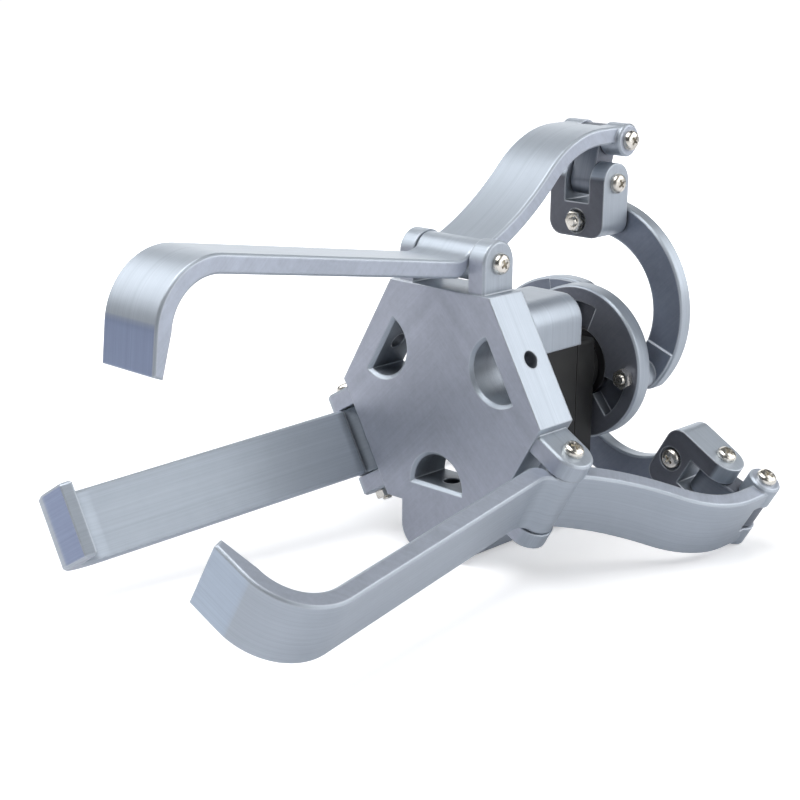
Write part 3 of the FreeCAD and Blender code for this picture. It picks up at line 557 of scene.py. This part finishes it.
@dataclass(frozen=True)
class MouldedFinish(Finish):
    """Moulded black plastic with a fine grain. Lengths are in metres."""

    groups: SurfaceGroups
    light: Triple = (0.020, 0.021, 0.020)
    dark: Triple = (0.010, 0.010, 0.011)
    worn: Triple = (0.09, 0.09, 0.09)
    worn_share: float = 0.5
    worn_reach: float = 0.0005
    grain_size: float = 0.0004
    refraction: float = 1.5
    rough: float = 0.48
    rough_change: Pair = (-0.06, 0.08)
    rounding: float = 0.0003
    relief: float = 0.00001

    def material(self) -> bpy.types.Material:
        """Builds the material.

        Returns:
            The finished material.
        """
        material, desk, shader, place = self.begin()
        at = place.outputs["Object"]
        grain = desk.add("ShaderNodeGroup", {"Place": at, "Size": self.grain_size},
                         node_tree=self.groups.grain).outputs
        edges = desk.add("ShaderNodeGroup", {"Place": at, "Reach": self.worn_reach},
                         node_tree=self.groups.edges)
        body = desk.tint(desk.remap(grain["Patch"], 0.3, 0.7), opaque(self.dark),
                         opaque(self.light))
        wear = desk.math("MULTIPLY", edges.outputs["Mask"], self.worn_share)
        desk.put(shader.inputs["Base Color"], desk.tint(wear, body, opaque(self.worn)))
        rough = (self.rough + change for change in self.rough_change)
        desk.put(shader.inputs["Roughness"], desk.remap(grain["Patch"], 0.2, 0.8, *rough))
        shader.inputs["IOR"].default_value = self.refraction
        desk.put(shader.inputs["Normal"],
                 desk.bump(grain["Height"], self.relief, desk.rounded(self.rounding, 6)))
        self.end(desk, shader)
        return material


@dataclass(frozen=True)
class MetalFinish(Finish):
    """Plated or turned metal with a fine grain and duller patches. Lengths are in metres."""

    groups: SurfaceGroups
    light: Triple = (0.90, 0.87, 0.80)
    dark: Triple = (0.66, 0.63, 0.57)
    grain_size: float = 0.0005
    rough: float = 0.22
    rough_change: Pair = (0.14, -0.04)
    relief: float = 0.000004

    def material(self) -> bpy.types.Material:
        """Builds the material.

        Returns:
            The finished material.
        """
        material, desk, shader, place = self.begin()
        grain = desk.add("ShaderNodeGroup", {"Place": place.outputs["Object"],
                                             "Size": self.grain_size},
                         node_tree=self.groups.grain).outputs
        desk.put(shader.inputs["Base Color"],
                 desk.tint(desk.remap(grain["Patch"], 0.32, 0.62), opaque(self.dark),
                           opaque(self.light)))
        rough = (self.rough + change for change in self.rough_change)
        desk.put(shader.inputs["Roughness"], desk.remap(grain["Patch"], 0.25, 0.75, *rough))
        shader.inputs["Metallic"].default_value = 1.0
        desk.put(shader.inputs["Normal"], desk.bump(grain["Height"], self.relief))
        self.end(desk, shader)
        return material


def to_mesh(bm: bmesh.types.BMesh, name: str) -> bpy.types.Mesh:
    """Keeps a working mesh under a name, and frees it.

    Args:
        bm: the working mesh.
        name: the new mesh's name.

    Returns:
        The new mesh.
    """
    mesh = bpy.data.meshes.new(name)
    bm.to_mesh(mesh)
    bm.free()
    return mesh


def clean(bm: bmesh.types.BMesh, reach: float = 0.004) -> None:
    """Closes hairline gaps and takes out slivers.

    Args:
        bm: a closed mesh in millimetres.
        reach: points nearer to each other than this become one.
    """
    bmesh.ops.remove_doubles(bm, verts=bm.verts, dist=reach)
    bmesh.ops.dissolve_degenerate(bm, dist=reach, edges=bm.edges)
    bmesh.ops.recalc_face_normals(bm, faces=bm.faces)


def revolve(profile: Sequence[Pair], steps: int, closed: bool = False) -> bpy.types.Mesh:
    """Turns a profile about Z.

    Args:
        profile: (radius, height) points in millimetres.
        steps: facets round the turn.
        closed: whether the last point joins the first, as on a ring.

    Returns:
        A closed mesh in millimetres.
    """
    bm = bmesh.new()
    verts = [bm.verts.new((radius, 0.0, height)) for radius, height in profile]
    ends = verts[1:] + verts[:1] if closed else verts[1:]
    edges = [bm.edges.new(pair) for pair in zip(verts, ends)]
    bmesh.ops.spin(bm, geom=verts + edges, cent=(0, 0, 0), axis=(0, 0, 1),
                   angle=2 * math.pi, steps=steps, use_merge=True)
    clean(bm, 1e-4)
    return to_mesh(bm, "turned")


def carve(body: bpy.types.Mesh, tool: bpy.types.Mesh, how: Carve) -> bpy.types.Mesh:
    """Cuts one closed mesh with another.

    Args:
        body: the mesh that is cut.
        tool: the mesh that cuts it.
        how: what is kept.

    Returns:
        A new mesh.
    """
    first = bpy.data.objects.new("carve_body", body)
    second = bpy.data.objects.new("carve_tool", tool)
    show(first)
    show(second)
    modifier = first.modifiers.new("carve", "BOOLEAN")
    modifier.operation = how.value
    modifier.solver = "EXACT"
    modifier.object = second
    bpy.context.view_layer.update()
    view = bpy.context.evaluated_depsgraph_get()
    result = bpy.data.meshes.new_from_object(first.evaluated_get(view))
    bpy.data.objects.remove(first)
    bpy.data.objects.remove(second)
    bm = bmesh.new()
    bm.from_mesh(result)
    bmesh.ops.dissolve_limit(bm, angle_limit=math.radians(0.5), verts=bm.verts,
                             edges=bm.edges)
    bmesh.ops.triangulate(bm, faces=bm.faces)
    clean(bm)
    bm.to_mesh(result)
    bm.free()
    return result


@dataclass(frozen=True)
class ScrewShape:
    """Pan-headed cross-recess screw. Lengths are in millimetres; its seat is at Z = 0.

    The dome's points and the recess's sizes are shares of the head's radius and height.
    """

    shank: float = 1.5
    head: float = 3.0
    height: float = 2.1
    thread_pitch: float = 0.5
    thread_depth: float = 0.24
    thread_shown: float = 5.0
    tip: float = 0.35
    plain_least: float = 0.6
    head_facets: int = 40
    shank_facets: int = 28
    dome: tuple[Pair, ...] = ((0.0, 1.0), (0.36, 0.995), (0.60, 0.95), (0.78, 0.85),
                              (0.90, 0.68), (0.975, 0.46), (1.0, 0.26), (1.0, 0.07),
                              (0.965, 0.0), (0.0, 0.0))
    recess_length: Pair = (0.42, 1.16)
    recess_width: Pair = (0.17, 0.27)
    recess_top: float = 1.15
    recess_arms: tuple[Pair, ...] = ((0.0, 0.42), (90.0, 0.40))

    def head_mesh(self) -> bpy.types.Mesh:
        """Domed head with a cross recess, above Z = 0.

        Returns:
            A closed mesh in millimetres.
        """
        mesh = revolve([(out * self.head, up * self.height) for out, up in self.dome],
                       self.head_facets)
        # The arms differ a little in depth, so that their floors don't lie in one plane.
        for turn, floor in self.recess_arms:
            mesh = carve(mesh, self._recess_arm(turn, floor), Carve.CUT)
        return mesh

    def _recess_arm(self, turn: float, floor: float) -> bpy.types.Mesh:
        """One tapered arm of the cross recess.

        Args:
            turn: its turn about the screw's axis, in degrees.
            floor: where its bottom is, as a share of the head's height.

        Returns:
            A closed mesh in millimetres.
        """
        bm = bmesh.new()
        bmesh.ops.create_cube(bm, size=1.0)
        for vert in bm.verts:
            top = int(vert.co.z > 0)
            vert.co.x *= self.head * self.recess_length[top]
            vert.co.y *= self.head * self.recess_width[top]
            vert.co.z = self.height * (floor, self.recess_top)[top]
        bmesh.ops.rotate(bm, verts=bm.verts, cent=(0, 0, 0),
                         matrix=Matrix.Rotation(math.radians(turn), 3, "Z"))
        return to_mesh(bm, "recess")

    def shank_mesh(self, length: float) -> bpy.types.Mesh:
        """Shank below Z = 0, threaded near its end.

        Args:
            length: from the seat to the end.

        Returns:
            A closed mesh in millimetres.
        """
        start = max(self.plain_least, length - self.thread_shown)
        profile = [(0.0, 0.05), (self.shank, 0.05), (self.shank, -start)]
        root = self.shank - self.thread_depth
        turns = int((length - self.tip - start) / self.thread_pitch)
        for number in range(turns):
            top = start + number * self.thread_pitch
            profile.append((root, -(top + 0.5 * self.thread_pitch)))
            profile.append((self.shank, -(top + self.thread_pitch)))
        profile += [(root, -(length - 0.05)), (0.8 * root, -length), (0.0, -length)]
        return revolve(profile, self.shank_facets)


@dataclass(frozen=True)
class NutShape:
    """Hexagon nut with bevelled corners. Lengths are in millimetres; its seat is at Z = 0."""

    across: float = 5.5
    height: float = 2.4
    bore: float = 1.38
    flat_inset: float = 0.08
    corner_room: float = 0.12
    slope: float = 0.34
    past: float = 0.2
    chamfer: float = 0.36
    chamfer_past: float = 0.1
    bevel_facets: int = 35
    bore_facets: int = 28

    def mesh(self) -> bpy.types.Mesh:
        """Builds the nut above Z = 0.

        Returns:
            A closed mesh in millimetres.
        """
        corner = self.across / 2 / math.cos(math.radians(30))
        h = self.height
        bm = bmesh.new()
        bmesh.ops.create_cone(bm, cap_ends=True, segments=6, radius1=corner, radius2=corner,
                              depth=h, matrix=Matrix.Translation((0, 0, h / 2)))
        prism = to_mesh(bm, "nut_prism")
        # The cutting shapes pass both ends of the nut, so no two faces lie in one plane.
        outer, flat = corner + self.corner_room, self.across / 2 - self.flat_inset
        tip = flat - self.past * (outer - flat) / self.slope
        waist = [(0.0, -self.past), (tip, -self.past), (outer, self.slope),
                 (outer, h - self.slope), (tip, h + self.past), (0.0, h + self.past)]
        nut = carve(prism, revolve(waist, self.bevel_facets), Carve.KEEP_COMMON)
        wide = self.bore + self.chamfer + self.chamfer_past
        low, high = -self.chamfer_past, h + self.chamfer_past
        hole = [(0.0, low), (wide, low), (self.bore, self.chamfer),
                (self.bore, h - self.chamfer), (wide, high), (0.0, high)]
        return carve(nut, revolve(hole, self.bore_facets), Carve.CUT)


@dataclass(frozen=True)
class WasherShape:
    """Flat washer with a small bevel. Lengths are in millimetres."""

    outer: float = 3.75
    inner: float = 1.6
    height: float = 0.5
    bevel: float = 0.1
    facets: int = 44

    def mesh(self) -> bpy.types.Mesh:
        """Builds the washer above Z = 0.

        Returns:
            A closed mesh in millimetres.
        """
        b = self.bevel
        return revolve([(self.inner, b), (self.inner + b, 0.0), (self.outer - b, 0.0),
                        (self.outer, b), (self.outer, self.height - b),
                        (self.outer - b, self.height), (self.inner + b, self.height),
                        (self.inner, self.height - b)], self.facets, closed=True)


@dataclass(frozen=True)
class Item:
    """One placed template: its seat and the way that it stands up, as if on finger 1."""

    mesh: bpy.types.Mesh
    seat: Triple
    up: Triple
    finger: int = 1
    roll: float = 0.0

    def matrix(self) -> Matrix:
        """Works out where the template goes.

        Returns:
            The matrix that takes it to its place in the scene.
        """
        stand = Vector((0, 0, 1)).rotation_difference(Vector(self.up)).to_matrix().to_4x4()
        roll = Matrix.Rotation(math.radians(self.roll), 4, "Z")
        return LAYOUT.frame(self.finger) @ Matrix.Translation(self.seat) @ stand @ roll


def gather(name: str, items: Iterable[Item], material: bpy.types.Material,
           sharp: float = 32.0) -> bpy.types.Object:
    """Puts placed templates into one object.

    Args:
        name: the object's name.
        items: what goes into it.
        material: its finish.
        sharp: edges steeper than this many degrees stay crisp.

    Returns:
        The new object, at the origin, with its place in its mesh.
    """
    bm = bmesh.new()
    for item in items:
        start = len(bm.verts)
        bm.from_mesh(item.mesh)
        bm.verts.ensure_lookup_table()
        bmesh.ops.transform(bm, matrix=item.matrix(), verts=bm.verts[start:])
    for face in bm.faces:
        face.smooth = True
    mesh = to_mesh(bm, name)
    mesh.set_sharp_from_angle(angle=math.radians(sharp))
    mesh.materials.clear()
    mesh.materials.append(material)
    piece = bpy.data.objects.new(name, mesh)
    show(piece)
    return piece


@dataclass
class Fasteners:
    """Screws, nuts and washers with their recesses and threads.

    Lengths are in millimetres. "Front" and "rear" are places along the main axis, and "out"
    is a distance from it. A Triple of sizes gives half the width, the rear place and the out.
    """

    metal: bpy.types.Material
    dark: bpy.types.Material
    head_sides: tuple[int, ...] = (1, 1, -1)
    front_heads: tuple[bool, ...] = (False, False, True)
    ear_outer: float = 16.0
    hub_out: float = 40.8
    hub_length: float = 35.3
    knuckle: Triple = (11.5, 63.5, 68.6)
    fork: Triple = (10.0, 60.0, 56.0)
    drive_out: float = 44.3
    drive_front: float = 55.0
    drive_rear: float = 72.9
    drive_length: float = 21.2
    washer_front: float = 72.4
    pin_circle: float = 19.0
    pin_lag: float = 95.0
    pin_seat: float = 72.0
    pin_length: float = 18.6
    rotor_front: float = 56.4
    rotor_rear: float = 62.4
    horn_circle: float = 7.6
    horn_turns: tuple[float, ...] = (45.0, 135.0, 225.0, 315.0)
    horn_length: float = 4.4
    centre_seat: float = 60.4
    centre_length: float = 7.0
    flange_rear: float = 44.0
    flange_side: float = 5.0
    flange_outs: Pair = (14.0, -34.0)
    flange_length: float = 10.0
    case_seat: float = 17.3
    case_side: float = 7.4
    case_outs: Pair = (-27.4, 7.4)
    case_length: float = 31.2
    screw: ScrewShape = field(default_factory=ScrewShape)
    small: ScrewShape = field(default_factory=lambda: ScrewShape(
        shank=1.0, head=1.9, height=1.3, thread_pitch=0.4, thread_depth=0.16))
    nut: NutShape = field(default_factory=NutShape)
    washer: WasherShape = field(default_factory=WasherShape)

    def __post_init__(self) -> None:
        """Makes the shapes that repeat."""
        self.dice = random.Random(7)
        self.head_template = self.screw.head_mesh()
        self.small_head = self.small.head_mesh()
        self.nut_template = self.nut.mesh()
        self.washer_template = self.washer.mesh()

    def screw_items(self, seat: Triple, way: Triple, length: float, finger: int = 1,
                    small: bool = False) -> list[Item]:
        """Head and shank of one screw.

        Args:
            seat: where its head stands.
            way: the way that its shank goes.
            length: from the seat to its end.
            finger: the finger that it belongs to.
            small: whether it is one of the servo's small screws.

        Returns:
            Its two items.
        """
        up = (-way[0], -way[1], -way[2])
        roll = self.dice.uniform(0.0, 90.0)
        head = self.small_head if small else self.head_template
        shape = self.small if small else self.screw
        return [Item(head, seat, up, finger, roll),
                Item(shape.shank_mesh(length), seat, up, finger)]

    def nut_item(self, seat: Triple, up: Triple, finger: int) -> Item:
        """One nut, turned by chance."""
        return Item(self.nut_template, seat, up, finger, self.dice.uniform(0.0, 60.0))

    def rotor_pin(self, rear: float) -> Triple:
        """Place of finger 1's rotor pin at a distance to the rear."""
        lag = math.radians(self.pin_lag)
        return (self.pin_circle * math.sin(lag), rear, self.pin_circle * math.cos(lag))

    def finish(self, node: str, body: str, items: Iterable[Item],
               material: bpy.types.Material | None = None) -> None:
        """Makes one node's fasteners and puts them in place of it.

        Args:
            node: the node that they stand for.
            body: the body that they ride on.
            items: the placed templates.
            material: their finish, bright metal if left out.
        """
        piece = gather(f"{node}_detail", items, material or self.metal)
        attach(piece, body)
        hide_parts(node)
        log.info("%s: %d triangles", piece.name, sum(len(p.vertices) - 2
                                                      for p in piece.data.polygons))

    def build(self) -> None:
        """Makes every fastener."""
        front = (0.0, -1.0, 0.0)
        hub_screws, hub_nuts, pin_screws, pin_nuts = [], [], [], []
        for finger in LAYOUT.fingers:
            side = float(self.head_sides[finger - 1])
            inwards = (-side, 0.0, 0.0)
            seat, far = ((way * self.ear_outer, 0.0, self.hub_out) for way in (side, -side))
            hub_screws += self.screw_items(seat, inwards, self.hub_length, finger)
            hub_nuts.append(self.nut_item(far, inwards, finger))
            pin_screws += self.screw_items(self.rotor_pin(self.pin_seat), front,
                                           self.pin_length, finger)
            pin_nuts.append(self.nut_item(self.rotor_pin(self.rotor_front), front, finger))
            self._finger_screws(finger, side, inwards)
        self.finish("hub_screws", "frame", hub_screws)
        self.finish("hub_nuts", "frame", hub_nuts)
        self.finish("rotor_pin_screws", "rotor", pin_screws)
        self.finish("rotor_pin_nuts", "rotor", pin_nuts)
        self._servo_screws(front)

    def _finger_screws(self, finger: int, side: float, inwards: Triple) -> None:
        """Rear hinge, fork and drive screws of one finger.

        Args:
            finger: the finger's number.
            side: 1 or -1, the side that their heads are on.
            inwards: the way that the cross screws go.
        """
        for node, body, place in (("rear_hinge_screw", "finger", self.knuckle),
                                  ("fork_screw", "slide_block", self.fork)):
            half, back, out = place
            self.finish(f"{node}_{finger}", f"{body}_{finger}",
                        self.screw_items((side * half, back, out), inwards, 2 * half, finger))
        ring = Item(self.washer_template, (0.0, self.washer_front, self.drive_out),
                    (0.0, 1.0, 0.0), finger)
        if self.front_heads[finger - 1]:
            seat, way, nut_at = self.drive_front, 1.0, self.drive_rear
        else:
            seat, way, nut_at = self.drive_rear, -1.0, self.drive_front
        items = self.screw_items((0.0, seat, self.drive_out), (0.0, way, 0.0),
                                 self.drive_length, finger)
        self.finish(f"drive_screw_{finger}", f"slide_block_{finger}", [*items, ring])
        self.finish(f"drive_nut_{finger}", f"slide_block_{finger}",
                    [self.nut_item((0.0, nut_at, self.drive_out), (0.0, way, 0.0), finger)])

    def _row(self, seats: Iterable[Triple], way: Triple, length: float,
             small: bool = False) -> list[Item]:
        """Equal screws at several seats, as screw_items makes one."""
        return [item for seat in seats
                for item in self.screw_items(seat, way, length, small=small)]

    def _servo_screws(self, front: Triple) -> None:
        """Flange, horn, centre and case screws. The case screws' sunk heads are at the palm.

        Args:
            front: the way to the palm.
        """
        flange = [(side, self.flange_rear, out) for out in self.flange_outs
                  for side in (-self.flange_side, self.flange_side)]
        self.finish("servo_flange_screws", "frame",
                    self._row(flange, front, self.flange_length))
        horn = [(self.horn_circle * math.cos(turn), self.rotor_rear,
                 self.horn_circle * math.sin(turn))
                for turn in map(math.radians, self.horn_turns)]
        self.finish("horn_screws", "rotor", self._row(horn, front, self.horn_length, True))
        self.finish("horn_centre_screw", "rotor",
                    self.screw_items((0.0, self.centre_seat, 0.0), front, self.centre_length))
        case = [(side, self.case_seat, out) for side in (-self.case_side, self.case_side)
                for out in self.case_outs]
        self.finish("servo_case_screws", "frame",
                    self._row(case, (0.0, 1.0, 0.0), self.case_length, True),
                    self.dark)


@dataclass
class Finishes:
    """Gives every node of the frame its finish.

    The pieces that were printed upright are listed with the slant of their drawn lines and
    the tone of their flat faces, which is painted shade: a little darker on the palm, much
    darker on the rotor, blocks and links. The hooks' ends are listed with one painted
    reflection for each finger.
    """

    groups: SurfaceGroups
    # Piece, slant of its drawn lines, and the painted shade tone of its flat faces.
    upright_looks: tuple[tuple[str, float, Triple], ...] = (
        ("palm", 1.0, (0.445, 0.475, 0.552)), ("rotor", -1.0, (0.220, 0.235, 0.280)),
        ("block", 1.0, (0.155, 0.163, 0.190)), ("link", -1.0, (0.235, 0.265, 0.330)))
    # Painted reflection on the hooks' flat ends: darker and bluer on hooks 1 and 2, lighter on
    # hook 3.
    hook_end: Triple = (0.0, -0.995, 0.100)
    hook_painted_reflections: tuple[Triple, ...] = ((0.62, 0.67, 0.86), (0.62, 0.67, 0.86),
                                      (1.07, 1.12, 1.18))

    def __post_init__(self) -> None:
        """Builds the finishes."""
        half = math.sqrt(0.5)
        self.upright = {
            part: PrintedFinish(f"Printed {part}", self.groups, (0.0, 1.0, 0.0),
                                (half, 0.0, half * slant), flat=flat).material()
            for part, slant, flat in self.upright_looks}
        self.fingers, self.short_links = [], []
        for finger, tone in zip(LAYOUT.fingers, self.hook_painted_reflections):
            stack = LAYOUT.direction(finger, (1.0, 0.0, 0.0))
            raster = LAYOUT.direction(finger, (0.0, half, half))
            self.fingers.append(PrintedFinish(
                f"Printed finger {finger}", self.groups, stack, raster, end_painted_reflection=tone,
                end_way=LAYOUT.direction(finger, self.hook_end)).material())
            # Painted shade: the short links, which sit between the fork arms, get a darker
            # copy of the printed finish, with a dimmer edge highlight.
            self.short_links.append(PrintedFinish(
                f"Printed short link in painted shade {finger}", self.groups, stack, raster,
                light=(0.250, 0.275, 0.320), dark=(0.190, 0.210, 0.250),
                edge=(0.480, 0.510, 0.560), flat=(0.215, 0.232, 0.275)).material())
        self.servo = MouldedFinish("Servo plastic", self.groups).material()
        self.horn = MouldedFinish("Horn plastic", self.groups, light=(0.035, 0.036, 0.038),
                                  dark=(0.020, 0.020, 0.022), rough=0.3).material()
        self.nickel = MetalFinish("Nickel plate", self.groups).material()
        self.dark = MetalFinish("Dark steel", self.groups, light=(0.20, 0.20, 0.21),
                                dark=(0.10, 0.10, 0.10), rough=0.35).material()
        self.shaft = MetalFinish("Shaft metal", self.groups, light=(0.72, 0.58, 0.30),
                                 dark=(0.5, 0.38, 0.18), rough=0.28).material()

    def dress(self, nodes: dict[str, bpy.types.Object]) -> None:
        """Assigns a finish to each node that stays in view.

        Args:
            nodes: the frame's objects by node name.
        """
        chosen = {"palm": self.upright["palm"], "rotor": self.upright["rotor"],
                  "servo_lower_cover": self.servo, "servo_case": self.servo,
                  "servo_top_cover": self.servo,
                  "servo_horn": self.horn, "output_shaft": self.shaft}
        for finger in LAYOUT.fingers:
            chosen[f"finger_{finger}"] = self.fingers[finger - 1]
            chosen[f"short_link_{finger}"] = self.short_links[finger - 1]
            chosen[f"slide_block_{finger}"] = self.upright["block"]
            chosen[f"curved_link_{finger}"] = self.upright["link"]
        for name, material in chosen.items():
            for entry in nodes[name].material_slots:
                entry.material = material
        log.info("finishes on %d nodes", len(chosen))


@dataclass(frozen=True)
class Softbox:
    """A square lamp that looks at the gripper. Lengths are in metres, its power in watts."""

    name: str
    place: Triple
    power: float
    side: float = 0.8
    target: Triple = (0.0, -0.02, 0.05)

    def build(self) -> None:
        """Makes the lamp."""
        lamp = bpy.data.lights.new(self.name, "AREA")
        lamp.shape = "SQUARE"
        lamp.size = self.side
        lamp.energy = self.power
        holder = bpy.data.objects.new(self.name, lamp)
        holder.visible_camera = False
        holder.location = self.place
        way = Vector(self.target) - Vector(self.place)
        holder.rotation_euler = way.to_track_quat("-Z", "Y").to_euler()
        show(holder)


@dataclass(frozen=True)
class FloorPaper(Finish):
    """White paper that fades into the white background. Lengths are in metres."""

    dark: Triple = (0.86, 0.86, 0.87)
    light: Triple = (0.89, 0.89, 0.90)
    rough: float = 0.9
    near_glow: float = 0.40
    far_glow: float = 1.0
    fade_start: float = 0.25
    fade_end: float = 0.60
    bounce: Triple = (0.80, 0.80, 0.824)

    def material(self) -> bpy.types.Material:
        """Builds the material.

        Returns:
            The finished material, brighter to the camera than to the object.
        """
        material, desk, shader, place = self.begin()
        at = place.outputs["Object"]
        desk.put(shader.inputs["Base Color"],
                 desk.tint(desk.noise(at, 300.0), opaque(self.dark), opaque(self.light)))
        shader.inputs["Roughness"].default_value = self.rough
        dim = desk.add("ShaderNodeBsdfDiffuse", {"Color": opaque(self.bounce)})
        away = desk.add("ShaderNodeVectorMath", {0: at}, operation="LENGTH")
        glow = desk.add("ShaderNodeEmission", {
            "Strength": desk.remap(away.outputs["Value"], self.fade_start, self.fade_end,
                                   self.near_glow, self.far_glow)})
        lit = desk.add("ShaderNodeAddShader", {0: shader.outputs[0], 1: glow.outputs[0]})
        ray = desk.add("ShaderNodeLightPath")
        mix = desk.add("ShaderNodeMixShader", {0: ray.outputs["Is Camera Ray"],
                                               1: dim.outputs[0], 2: lit.outputs[0]})
        self.end(desk, mix)
        return material


@dataclass
class Studio:
    """White floor, soft lamps, plain surroundings and the camera."""

    floor_side: float = 12.0
    sky_tone: Triple = (0.96, 0.98, 1.0)
    sky_light: float = 0.05
    camera_place: Triple = (0.2971, -0.3327, 0.17296)
    camera_right: Triple = (0.7214, 0.6925, 0.0067)
    camera_up: Triple = (-0.1949, 0.1937, 0.9615)
    focal_length: float = 73.07
    sensor_width: float = 36.0
    nearest_seen: float = 0.01
    lamps: tuple[Softbox, ...] = (
        Softbox("Front top", (0.0, -0.330, 0.990), 8.1),
        Softbox("Rear right", (0.572, 0.692, 0.491), 4.6),
        Softbox("Rear left", (-0.665, 0.695, 0.322), 2.8),
        Softbox("Right", (0.966, 0.097, 0.291), 2.9),
        Softbox("Left", (-0.690, -0.360, 0.660), 4.6),
    )

    def build(self) -> None:
        """Makes the whole studio."""
        self._floor()
        self._surroundings()
        for lamp in self.lamps:
            lamp.build()
        self._camera()
        bpy.context.scene.view_settings.view_transform = "Standard"
        log.info("studio with %d lamps", len(self.lamps))

    def _floor(self) -> None:
        """Matt white floor, which isn't part of the object."""
        bm = bmesh.new()
        bmesh.ops.create_grid(bm, x_segments=1, y_segments=1, size=self.floor_side / 2)
        floor = bpy.data.objects.new("floor", to_mesh(bm, "floor"))
        show(floor)
        floor.data.materials.append(FloorPaper("Floor paper").material())

    def _surroundings(self) -> None:
        """White to look at, and a softer light on the object."""
        world = bpy.data.worlds.new("Studio white")
        world.use_nodes = True
        world.node_tree.nodes.clear()
        desk = NodeDesk(world.node_tree)
        ray = desk.add("ShaderNodeLightPath")
        seen = desk.add("ShaderNodeBackground", {"Color": (1.0, 1.0, 1.0, 1.0),
                                                 "Strength": 1.0})
        lit = desk.add("ShaderNodeBackground", {"Color": opaque(self.sky_tone),
                                                "Strength": self.sky_light})
        mix = desk.add("ShaderNodeMixShader", {0: ray.outputs["Is Camera Ray"],
                                               1: lit.outputs[0], 2: seen.outputs[0]})
        desk.add("ShaderNodeOutputWorld", {"Surface": mix.outputs[0]})
        bpy.context.scene.world = world

    def _camera(self) -> None:
        """Camera at the photograph's place."""
        camera = bpy.data.cameras.new("Camera")
        camera.lens = self.focal_length
        camera.sensor_width = self.sensor_width
        camera.clip_start = self.nearest_seen
        holder = bpy.data.objects.new("Camera", camera)
        right = Vector(self.camera_right).normalized()
        up = Vector(self.camera_up)
        up = (up - right * up.dot(right)).normalized()
        back = right.cross(up)
        turn = Matrix((right, up, back)).transposed().to_4x4()
        holder.matrix_world = Matrix.Translation(self.camera_place) @ turn
        show(holder)
        bpy.context.scene.camera = holder


def main() -> None:
    """Loads the frame, dresses it and sets the studio."""
    logging.basicConfig(level=logging.INFO, format="%(name)s: %(message)s")
    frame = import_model()
    finishes = Finishes(SurfaceGroups())
    finishes.dress(frame["nodes"])
    Fasteners(finishes.nickel, finishes.dark).build()
    Studio().build()


if __name__ == "__main__":
    main()
